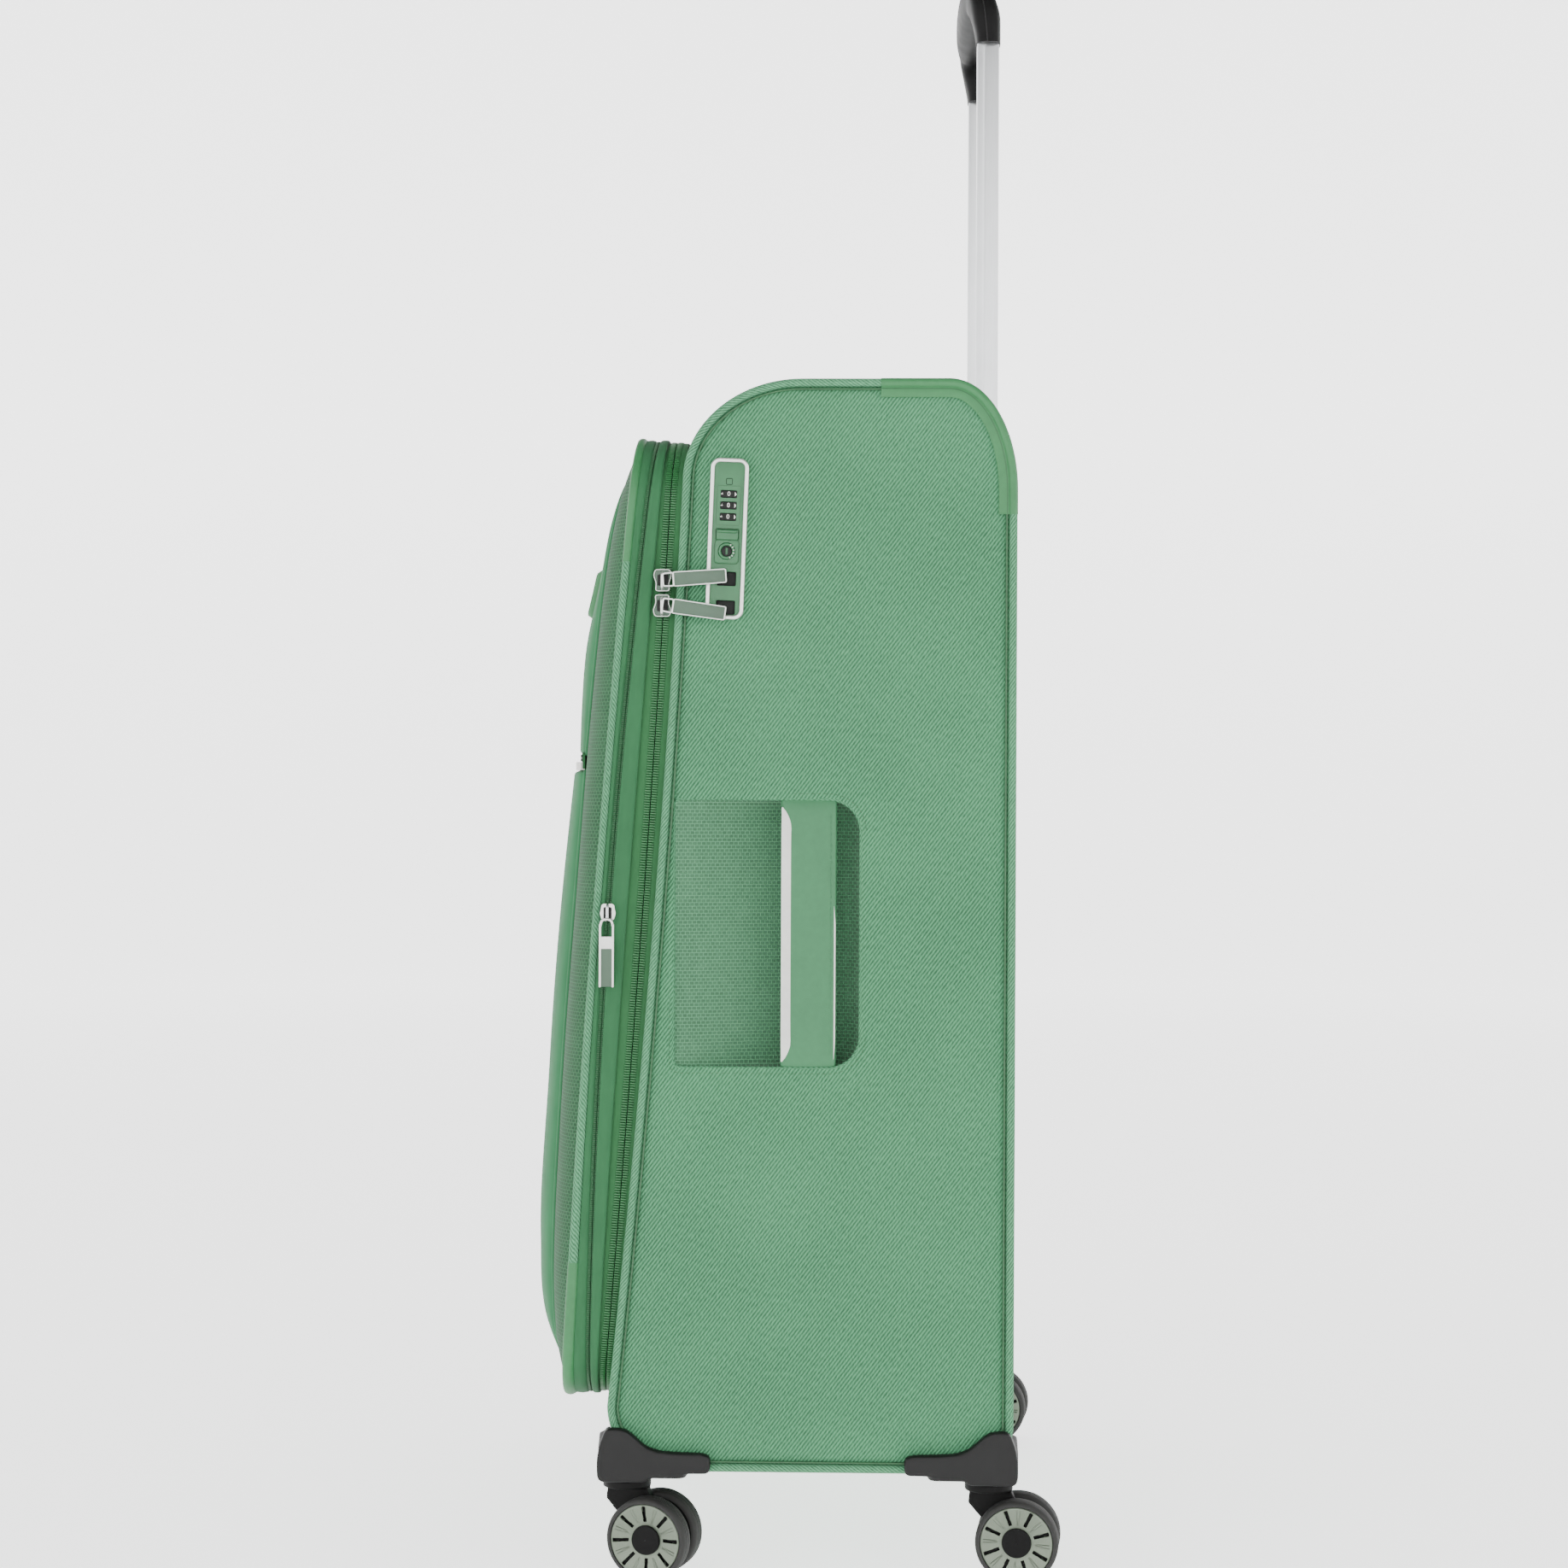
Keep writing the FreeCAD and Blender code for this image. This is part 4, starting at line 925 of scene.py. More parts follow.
def make_side_strap():
    z = np.concatenate([np.linspace(325, 345, 14), np.linspace(350, 480, 36), np.linspace(485, 505, 14)])
    mid, half = (STRAP_FRONT + STRAP_REAR) / 2, (STRAP_REAR - STRAP_FRONT) / 2
    u = np.array([-1, -0.985, -0.95, -0.88, -0.75, -0.5, 0, 0.5, 0.75, 0.88, 0.95, 0.985, 1])
    crown = 0.9 * (1 - np.abs(u) ** 3)
    edge = 1.6 * np.clip((np.abs(u) - 0.94) / 0.06, 0, 1) ** 2
    flat = np.exp(-np.minimum(z - 325, 505 - z) / 7.0)
    outer = np.zeros((len(z), len(u), 3))
    outer[..., 0] = strap_x(z)[:, None] + crown[None] * (1 - flat[:, None]) - edge[None]
    outer[..., 1] = mid + half * u[None]
    outer[..., 2] = z[:, None]
    inner = outer.copy()
    inner[..., 0] = strap_x(z)[:, None] - 3.6 + 0.6 * edge[None]
    item = skin("side_strap", outer, inner, flat_weave(half * u, z))
    finish_piece(item, LOOKS["strap"], "root", ["side_handle"])
    for name, front, width, low, high in (("front", STRAP_FRONT + 0.3, 7.0, 333.5, 496.0),
                                          ("rear", STRAP_REAR - 1.5, 1.1, 335.0, 433.0)):
        rise = np.linspace(low, high, 60)
        taper = np.clip(np.minimum(rise - low, high - rise) / 12.0, 0.03, 1) ** 0.6
        section = np.zeros((len(rise), 16, 2))
        section[:] = rounded(0.55, 0.5, 0.3)
        section[..., 1] *= width * taper[:, None]
        lip = strap_x(rise) + (0.15 if width > 3 else -0.15)
        path = np.column_stack([lip, front + width / 2 * taper, rise])
        trim = sweep(f"strap_trim_{name}", path, (1.0, 0, 0), section)
        finish_piece(trim, LOOKS["white"], "root")
    for k, y in enumerate((STRAP_FRONT + 9.6, STRAP_REAR - 3.4)):
        rise = np.linspace(338, 492, 60)
        path = np.column_stack([strap_x(rise) + 0.62, np.full(60, y), rise])
        thread = stitches(f"strap_stitches_{k}", path, (1.0, 0, 0), 2.4, 1.2, 0.5)
        finish_piece(thread, LOOKS["thread"], "root")


def make_top_strap():
    """The top handle: a low arch over its hollow, with the hollow's cloth."""
    x = np.linspace(-103, 103, 70)
    arch = 3.4 * (1 - (x / 103) ** 4) - 3.6
    u = np.array([-1, -0.97, -0.85, -0.5, 0, 0.5, 0.85, 0.97, 1])
    outer = np.zeros((len(x), len(u), 3))
    outer[..., 0] = x[:, None]
    outer[..., 1] = 40 + 15.5 * u[None]
    outer[..., 2] = TOP + arch[:, None] + 1.6 * (1 - u[None] ** 4)
    inner = outer.copy()
    inner[..., 2] = TOP + arch[:, None] - 3.0
    item = skin("top_strap", outer, inner, flat_weave(15.5 * u, x))
    finish_piece(item, LOOKS["strap"], "root", ["top_handle"])
    for k, y in enumerate((28.0, 52.0)):
        path = np.column_stack([x[4:-4], np.full(62, y), TOP + arch[4:-4] + 1.35])
        thread = stitches(f"top_stitches_{k}", path, (0, 0, 1.0), 2.4, 1.2, 0.5)
        finish_piece(thread, LOOKS["thread"], "root")
    xx, yy = np.meshgrid(np.linspace(-97, 97, 80), np.linspace(12, 68, 40), indexing="ij")
    qx, qy = np.abs(xx) - 81.0, np.abs(yy - 40) - 12.0
    inset = 14.0 - np.hypot(np.maximum(qx, 0), np.maximum(qy, 0)) - np.minimum(np.maximum(qx, qy), 0)
    wall = np.sqrt(1 - (1 - np.clip(inset / 10.0, 0, 1)) ** 2)
    outer = np.stack([xx, yy, TOP - 1.6 - 19.5 * wall], -1)
    item = skin("top_recess", outer, outer - (0, 0, 1.5), np.stack([xx, yy], -1))
    finish_piece(item, LOOKS["recess_mesh"], "root")
    hole = rounded(94.2, 26.2, 14.0, 9) + (0.0, 40.0)
    path = np.column_stack([hole, np.full(len(hole), TOP - 0.4)])
    hem = sweep("top_recess_hem", path, (0, 0, 1.0), circle(1.1, 8), closed=True)
    finish_piece(hem, LOOKS["twill"], "root")


def make_tag_pocket():
    """The slip pocket low on the back: a leaning panel with bound edges."""
    x, t = np.linspace(-45, 45, 31), np.linspace(0, 1, 18)
    xx, tt = np.meshgrid(x, t)
    belly = 1 - (np.abs(xx) / 45) ** 6
    y = BACK + 0.9 + 7.0 * tt * (0.75 + 0.25 * belly) * belly ** 0.25
    outer = np.stack([xx, y, 100 + 48 * tt], -1)
    inner = outer - (0, 1.6, 0)
    inner[..., 1] = np.minimum(inner[..., 1], outer[..., 1] - 1.6)
    item = skin("tag_pocket_panel", outer, inner, np.stack([xx, 48 * tt], -1))
    finish_piece(item, LOOKS["front"], "root", ["tag_pocket"])
    rim = np.column_stack([x, y[-1] - 0.6, np.full(31, 148.0)])
    band = sweep("tag_binding", rim, (0, 1.0, 0), rounded(1.5, 1.8, 0.7))
    finish_piece(band, LOOKS["trim"], "root")


# ---------------------------------------------------------------- lid stack
def ring(name, section, part=None):
    """A band round the lid. Section points are (outward, seam number, shift along Y)."""
    outline, normal = lid_outline()
    if part is not None:
        outline, normal = stretch(outline, normal, part(outline[:, 0], outline[:, 1]))
    section = np.asarray(section, float)
    grid = np.zeros((len(outline), len(section), 3))
    for j, (out, k, shift) in enumerate(section):
        grid[:, j, 0] = outline[:, 0] + out * normal[:, 0]
        grid[:, j, 2] = outline[:, 1] + out * normal[:, 1]
        grid[:, j, 1] = stack_y(k, outline[:, 1]) + shift
    return loft(name, grid, part is None)


def not_hinge(x, z):
    """The lid outline without the left side's straight run, where the lid hinges."""
    return ~((x < -LID_HALF + 0.5) & (z > LID_BOTTOM + LID_CORNER) & (z < LID_TOP - LID_CORNER))


def teeth(name, k, shift, long, wide, tall, pitch, out, part=None):
    """Zipper teeth along seam k, each lying along Y."""
    outline, normal = lid_outline(4.0)
    if part is not None:
        outline, normal = stretch(outline, normal, part(outline[:, 0], outline[:, 1]))
    else:
        outline, normal = np.concatenate([outline, outline[:1]]), np.concatenate([normal, normal[:1]])
    run = lengths(outline)
    at = np.arange(pitch / 2, run[-1], pitch)
    place = [np.interp(at, run, column) for column in (*outline.T, *normal.T)]
    x, z, nx, nz = place
    origins = np.column_stack([x + out * nx, stack_y(k, z) + shift, z + out * nz])
    outward = unit(np.column_stack([nx, np.zeros(len(x)), nz]))
    along = unit(np.gradient(origins, axis=0))
    cross = np.cross(outward, along)
    shape, faces = bead(long, wide, tall)
    return scatter(name, shape, faces, origins, np.stack([cross, along, outward], 1))


def make_zippers():
    tape = ring("zip_tape_body", [(-1.6, 0, 0.4), (-1.4, 0.35, 0), (-2.0, 0.75, 0), (-2.2, 1, 0.25),
                                  (-3.2, 1, 0.25), (-3.2, 0, 0.4)])
    finish_piece(tape, LOOKS["tape"], "root", ["zipper_tape"])
    row = teeth("coil_body", 1, 2.15, 3.7, 1.32, 1.7, 1.62, -1.55, not_hinge)
    finish_piece(row, LOOKS["coil"], "root")
    tape = ring("zip_tape_lid",
                [(-2.2, 1, -0.25), (-2.0, 1.2, 0), (-2.2, 1.5, 0), (-3.2, 1.5, 0), (-3.2, 1, -0.25)])
    finish_piece(tape, LOOKS["tape"], "lid_frame")
    row = teeth("coil_lid", 1, -2.15, 3.7, 1.32, 1.7, 1.62, -1.55, not_hinge)
    finish_piece(row, LOOKS["coil"], "lid_frame")
    for name, k, shift, body in (("expander_rear", 2, 1.15, "lid_frame"),
                                 ("expander_front", 2, -1.15, "lid")):
        row = teeth(name, k, shift, 1.8, 0.85, 0.9, 1.3, -0.75)
        finish_piece(row, LOOKS["rib"], body)


def make_lid_bands():
    band = ring("frame_band",
                [(-0.3, 1.46, 0), (0.35, 1.5, 0), (0.55, 1.6, 0), (0.5, 1.85, 0), (0.1, 1.93, 0),
                 (-1.1, 2, 2.2), (-1.2, 2, 0.25), (-2.4, 2, 0.25), (-2.6, 1.5, 0), (-1.8, 1.46, 0)])
    finish_piece(band, LOOKS["band"], "lid_frame", ["zipper_ring"])
    band = ring("lid_band", [(-1.2, 2, -0.25), (-1.1, 2, -2.2), (0.0, 2, -2.9), (0.55, 2.6, 0), (0.2, 3, 0),
                             (-2.6, 3, 0), (-2.4, 2, -0.25)])
    finish_piece(band, LOOKS["band"], "lid", ["lid_gusset"])
    steps = np.linspace(1.08, 2.92, 61)
    fold = -4.4 - 5.8 * (1 - np.cos(np.linspace(0, 4 * math.pi, 61)))
    along = unit(np.column_stack([np.gradient(fold), 14.0 * np.gradient(steps)]))
    outer = [(f + 0.4 * t[1], k, -0.4 * t[0]) for f, k, t in zip(fold, steps, along)]
    inner = [(f - 0.4 * t[1], k, 0.4 * t[0]) for f, k, t in zip(fold, steps, along)]
    cloth = ring("expansion_cloth", outer + inner[::-1])
    cloth.data.materials.append(LOOKS["front"])
    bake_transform(cloth)
    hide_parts("expansion_gusset")


def lid_cord(grow):
    """Section of the lid piping: round, and as wide as the seam is there."""
    angle = np.linspace(0, math.tau, 14, endpoint=False)
    return [(-1.3 + (2.8 + grow) * math.cos(a), 3.5 + (0.5 + grow / 6) * math.sin(a) * 0.98, 0)
            for a in angle]


def make_lid_piping():
    cord = ring("lid_piping_cord", lid_cord(0.0))
    finish_piece(cord, LOOKS["piping"], "lid", ["lid_piping"])
    for name, part in (("top", lambda x, z: z > 652), ("bottom", lambda x, z: z < 203)):
        trim = ring(f"lid_trim_{name}", lid_cord(0.35), part)
        finish_piece(trim, LOOKS["trim"], "lid")


# ---------------------------------------------------------------- lid front
UPPER = ((712, -116.5), (676, -127), (650, -132), (600, -143), (560, -145.5), (528, -146.0))
LOWER = ((519, -150), (433, -159.3), (320, -166.8), (210, -172.2), (160, -168.2), (128, -156.5))


def half_width(z, half, low, high, corner_low, corner_high):
    """Half the width of a rounded outline at height z."""
    z = np.asarray(z, float)
    mid = (low + high) / 2
    radius = np.where(z > mid, corner_high, corner_low)
    over = np.where(z > mid, z - (high - radius), low + radius - z)
    over = np.clip(over, 0, radius)
    return half - radius + np.sqrt(np.maximum(radius**2 - over**2, 0))


def rounded_grid(half, low, high, corner_low, corner_high, rows, columns):
    t = np.linspace(0, 1, rows)
    z = low + (high - low) * (0.5 * t + 0.5 * (0.5 - 0.5 * np.cos(math.pi * t)))
    u = np.sin(np.linspace(-math.pi / 2, math.pi / 2, columns))
    u = 0.45 * np.linspace(-1, 1, columns) + 0.55 * u
    width = half_width(z, half, low, high, corner_low, corner_high)
    return width[:, None] * u[None], np.repeat(z[:, None], columns, 1)


def lid_surface(x, z):
    """Y of the lid's mesh front: it swells away from its piping."""
    side = half_width(z, LID_HALF, LID_BOTTOM, LID_TOP, LID_CORNER, LID_CORNER) - np.abs(x)
    end = np.minimum(z - LID_BOTTOM, LID_TOP - z)
    swell = (1 - np.exp(-np.maximum(side - 3.5, 0) / 16.0)) * (1 - np.exp(-np.maximum(end - 3.5, 0) / 40.0))
    return stack_y(3.75, z) - 18.3 * swell - 0.3 * swell * ripple(x, z, 4.0, 80.0)


def make_lid_front():
    x, z = rounded_grid(LID_HALF - 3.6, LID_BOTTOM + 3.6, LID_TOP - 3.6, LID_CORNER - 3.6, LID_CORNER - 3.6,
                        170, 120)
    outer = np.stack([x, lid_surface(x, z), z], -1)
    inner = outer.copy()
    inner[..., 1] = stack_y(3.3, z)
    item = skin("lid_mesh_front", outer, inner, np.stack([x, z], -1))
    finish_piece(item, LOOKS["mesh"], "lid", ["lid_panel"])
    back = inner.copy()
    back[..., 1] = stack_y(3.0, z) + 0.2
    item = skin("lid_lining", back + (0, 0.8, 0), back, np.stack([x, z], -1))
    finish_piece(item, LOOKS["lining"], "lid")


def pocket_surface(x, z, points, half, low, high, corner_low, corner_high):
    """Y of a pocket's front: full in the middle, lower at its side seams."""
    heights, fronts = zip(*sorted(points))
    full = eased(heights, fronts, z)
    gap = half_width(z, half, low, high, corner_low, corner_high) - np.abs(x)
    mesh = lid_surface(x, z)
    edge = mesh - 2.2
    level = edge + (np.minimum(full, edge) - edge) * (1 - np.exp(-np.maximum(gap, 0) / 11.0))
    ends = np.minimum(z - low, high - z)
    corner = np.clip(np.minimum(gap, ends) / 3.2, 0, 1)
    drop = 1 - np.sqrt(1 - (1 - corner) ** 2)
    bulge = 0.5 * (1 - np.exp(-np.maximum(gap, 0) / 20.0)) * ripple(x, z, 5.0, 140.0)
    return level + 3.4 * drop + bulge * (1 - drop)


def make_pockets():
    for name, points, low, high, corners in (("upper", UPPER, 529.5, 714.0, (3.0, 36.0)),
                                             ("lower", LOWER, 126.0, 519.5, (36.0, 3.0))):
        shape = (POCKET_HALF, low, high, *corners)
        x, z = rounded_grid(*shape, 110 if name == "lower" else 70, 90)
        outer = np.stack([x, pocket_surface(x, z, points, *shape), z], -1)
        inner = outer.copy()
        inner[..., 1] = np.maximum(lid_surface(x, z) + 1.2, outer[..., 1] + 1.2)
        item = skin(f"{name}_pocket_cover", outer, inner, np.stack([x, z], -1))
        finish_piece(item, LOOKS["front"], "lid", [f"{name}_pocket"])
        heights = np.linspace(low + 0.5, high - 0.5, 160)
        width = half_width(heights, *shape)
        right = np.column_stack([width, heights])
        loop = np.concatenate([right, right[::-1] * (-1, 1)])
        y = lid_surface(loop[:, 0], loop[:, 1]) - 0.5
        path = np.column_stack([loop[:, 0], y, loop[:, 1]])
        cord = sweep(f"{name}_pocket_seam", path, (0, -1.0, 0), circle(1.3, 8), closed=True)
        finish_piece(cord, LOOKS["front"], "lid")


def make_pocket_zipper():
    """The zipper between the pockets, under a pale bound edge."""
    x = np.linspace(-POCKET_HALF, POCKET_HALF, 90)
    u = 1 - np.exp(-(POCKET_HALF + 2 - np.abs(x)) / 11.0)
    side = lid_surface(x, np.full(90, 524.0)) - 1.5
    for name, z, y, out, wide, look, slot in (("pocket_tape", 525.5, -143.2, 0.8, 5.2, "tape", "zip_tape"),
                                              ("pocket_stripe", 522.0, -147.6, 1.4, 2.6, "white",
                                               "smooth_fabric")):
        line = side + (y - side) * u
        path = np.column_stack([x, line, np.full(90, z)])
        band = sweep(name, path, (0, -1.0, 0), rounded(out, wide, 0.6))
        finish_piece(band, LOOKS[look], "lid")
    pitch = 1.6
    at = np.arange(-POCKET_HALF + 3, POCKET_HALF - 2, pitch)
    for k, z in enumerate((528.6, 526.2)):
        y = np.interp(at, x, side + (-144.1 - side) * u)
        origins = np.column_stack([at, y - 0.5, np.full(len(at), z)])
        axes = np.tile(np.array([(0, 0, 1.0), (1.0, 0, 0), (0, -1.0, 0)]), (len(at), 1, 1))
        row = scatter(f"pocket_coil_{k}", *bead(2.1, 1.2, 1.3), origins, axes)
        finish_piece(row, LOOKS["ink_and_shade"], "lid")


def make_patch():
    """A plain raised patch on the upper pocket."""
    u, v = np.meshgrid(np.linspace(-1, 1, 30), np.linspace(-1, 1, 18))
    x, z = 128 + 30 * u, 636.5 + 16 * v
    shape = (POCKET_HALF, 529.5, 714.0, 3.0, 36.0)
    base = pocket_surface(x, z, UPPER, *shape)
    qx, qz = np.abs(x - 128) - 24, np.abs(z - 636.5) - 10
    inset = 6 - np.hypot(np.maximum(qx, 0), np.maximum(qz, 0)) - np.minimum(np.maximum(qx, qz), 0)
    rise = 3.6 * np.sqrt(1 - (1 - np.clip(inset / 3.5, 0, 1)) ** 2)
    outer = np.stack([x, base - rise - 0.1, z], -1)
    inner = np.stack([x, base + 1.0, z], -1)
    item = skin("plain_patch", outer, inner, np.stack([x, z], -1))
    finish_piece(item, LOOKS["trim"], "lid")


make_side_panels()
make_wrap()
make_lining()
make_body_piping()
make_recess()
make_side_strap()
make_top_strap()
make_tag_pocket()
make_zippers()
make_lid_bands()
make_lid_piping()
make_lid_front()
make_pockets()
make_pocket_zipper()
make_patch()


# ---------------------------------------------------------------- hardware
def seat(item, origin=(0, 0, 0), turn=0.0, axis="X"):
    """Move a piece made about its own origin to its place, turned by degrees about an axis."""
    matrix = Matrix.Translation(Vector(origin) * MM) @ Matrix.Rotation(math.radians(turn), 4, axis)
    item.data.transform(matrix)
    return item


def wire(name, points, radius, outward=(1.0, 0, 0), closed=False, sides=8):
    """A round bar through a few points, with rounded turns."""
    points = np.asarray(points, float)
    for _ in range(3):
        following = np.roll(points, -1, 0)
        if not closed:
            points_a, following = points[:-1], points[1:]
        else:
            points_a = points
        cut_a, cut_b = 0.75 * points_a + 0.25 * following, 0.25 * points_a + 0.75 * following
        middle = np.stack([cut_a, cut_b], 1).reshape(-1, 3)
        points = middle if closed else np.concatenate([points[:1], middle, points[-1:]])
    return sweep(name, points, outward, circle(radius, sides), closed)


def coloured(item, look):
    item.data.materials.clear()
    item.data.materials.append(LOOKS[look])
    return item


def softened(outline, radius, steps=4):
    """A polygon with its corners rounded."""
    outline = np.asarray(outline, float)
    points = []
    for k, corner in enumerate(outline):
        before, after = outline[k - 1], outline[(k + 1) % len(outline)]
        into, out = before - corner, after - corner
        reach = min(radius, np.linalg.norm(into) * 0.45, np.linalg.norm(out) * 0.45)
        a, b = corner + into / np.linalg.norm(into) * reach, corner + out / np.linalg.norm(out) * reach
        for t in np.linspace(0, 1, steps):
            points.append((1 - t) ** 2 * a + 2 * t * (1 - t) * corner + t**2 * b)
    return np.array(points)


def rim_of(name, outline, x, width, height):
    """A raised border along the edge of a flat outline."""
    path = np.column_stack([np.full(len(outline), x), outline])
    return sweep(name, path, (1.0, 0, 0), rounded(height, width, min(height, width) * 0.8),
                 closed=True)


def make_main_sliders():
    for name, y, z, tilt in (("upper", -86.3, 641.1, 4.0), ("lower", -86.5, 624.8, -8.0)):
        flip = 1 if name == "upper" else -1
        outline = softened([(-4.6, -7), (4.6, -7), (4.0, -2), (5.9, 3), (4.8, 7), (-4.8, 7), (-5.9, 3),
                            (-4.0, -2)], 1.6)
        outline[:, 1] *= flip
        outline = outline[::flip]
        body = coloured(plate("slider", outline, 228.0, 231.4, bevel=0.7), "enamel")
        edge = coloured(rim_of("edge", outline * 0.97, 231.4, 0.3, 0.28), "pale_metal")
        bridge = coloured(wire("bridge", [(231, 0, -5.4), (235.4, 0, -5.2), (236.2, 0, 0), (235.4, 0, 4.6),
                                          (231, 0, 4.8)],
                               0.95, (0, 1.0, 0)), "pale_metal")
        skirt = coloured(plate("skirt", outline * 0.9, 226.9, 228.2, bevel=0.3), "pale_metal")
        # The black hollow plate under the bridge is painted shade: the enamel slider body there lies in the
        # bridge's shade.
        hollow = softened([(-3.3, -3.6), (3.9, -3.6), (3.9, 3.6), (-3.3, 3.6)], 0.9)
        hollow = coloured(plate("hollow", hollow, 230.9, 231.75, bevel=0.2), "ink_and_shade")
        item = seat(join(f"slider_{name}_piece", [body, edge, bridge, skirt, hollow]), (0, y, z))
        finish_piece(item, None, f"slider_{name}", [f"slider_{name}"])
        tab = softened([(3.5, -4.9), (38, -4.6), (38, 4.6), (3.5, 4.9)], 1.0)
        leaf = coloured(plate("leaf", tab, 237.2, 238.5, bevel=0.35), "enamel")
        border = coloured(rim_of("border",
                                 softened([(4.0, -4.5), (37.5, -4.2), (37.5, 4.2), (4.0, 4.5)], 1.0),
                                 238.4, 0.42, 0.4), "pale_metal")
        tongue = softened([(11.5, -3.2), (35.5, -3.0), (35.5, 3.0), (11.5, 3.2)], 0.8)
        inlay = coloured(rim_of("inlay", tongue, 238.35, 0.16, 0.22), "enamel")
        loop = rim_of("loop", softened([(-2.8, -4.0), (3.9, -4.3), (3.9, 4.3), (-2.8, 4.0)], 1.3), 237.9,
                      0.62, 0.75)
        coloured(loop, "pale_metal")
        item = seat(join(f"puller_{name}_piece", [leaf, border, inlay, loop]), (0, y + 3.5, z), tilt)
        finish_piece(item, None, f"puller_{name}", [f"puller_{name}"])


def make_expansion_slider():
    y, z = -120.7, 428.0
    outline = softened([(-3.9, 6), (-4.4, 2), (-5.2, -0.5), (-3.6, -5.5), (3.6, -5.5), (5.2, -0.5), (4.4, 2),
                        (3.9, 6)], 1.2)
    outline = outline[::-1]
    body = coloured(plate("slider", outline * 0.82, 227.8, 230.8, bevel=0.8), "pale_metal")
    bridge = coloured(wire("bridge", [(230.5, 0, 5), (233.4, 0, 4.6), (234.2, 0, 0), (233.4, 0, -4.4),
                                      (230.5, 0, -4.8)],
                           1.0, (0, 1.0, 0)), "steel")
    # The black hollow plate under the bridge is painted shade on the pale metal slider body.
    hollow = softened([(-2.6, -3.8), (2.6, -3.8), (2.6, 3.6), (-2.6, 3.6)], 0.8)
    hollow = coloured(plate("hollow", hollow, 230.4, 231.2, bevel=0.2), "ink_and_shade")
    item = seat(join("expansion_slider_piece", [body, bridge, hollow]), (0, y, z))
    finish_piece(item, None, "expansion_slider", ["expansion_slider"])
    rails = [coloured(plate("rail",
                            softened([(s * 4.1 - 0.75, -43.5), (s * 4.1 + 0.75, -43.5),
                                      (s * 4.1 + 0.75, -3), (s * 4.1 - 0.75, -3)], 0.5),
                            233.4, 235.4, bevel=0.4), "pale_metal")
             for s in (-1, 1)]
    block = coloured(plate("block", softened([(-4.2, -19), (4.2, -19), (4.2, -11), (-4.2, -11)], 0.8),
                           233.5, 235.2, bevel=0.4), "pale_metal")
    head = coloured(wire("head",
                         [(234.4, -4.0, -4.5), (234.4, -3.2, -0.6), (234.4, 0, 0.2), (234.4, 3.2, -0.6),
                                  (234.4, 4.0, -4.5)], 0.9), "pale_metal")
    insert = coloured(plate("insert", softened([(-3.7, -43.2), (3.7, -43.2), (3.7, -18), (-3.7, -18)], 0.6),
                            233.7, 234.9, bevel=0.3), "enamel")
    item = seat(join("expansion_puller_piece", [*rails, block, head, insert]), (0, -121.0, 424.0))
    finish_piece(item, None, "expansion_puller", ["expansion_puller"])


# ---------------------------------------------------------------- lock
LOCK = (0, -44.9, 667.5)
LOCK_LEAN = -2.1
DIAL_HEIGHTS = (28.5, 21.2, 13.9)
DIAL_X, DIAL_RADIUS = 227.2, 8.0
FACE_X = 234.5


def lock_seat(name, items, body, replaces=()):
    item = seat(join(name, items), LOCK, LOCK_LEAN)
    return finish_piece(item, None, body, replaces)


def mark(outline, x, thick=0.18, look="white"):
    """A thin printed or inlaid mark on the lock's face."""
    return coloured(plate("mark", outline, x - thick, x + thick, bevel=0.06), look)


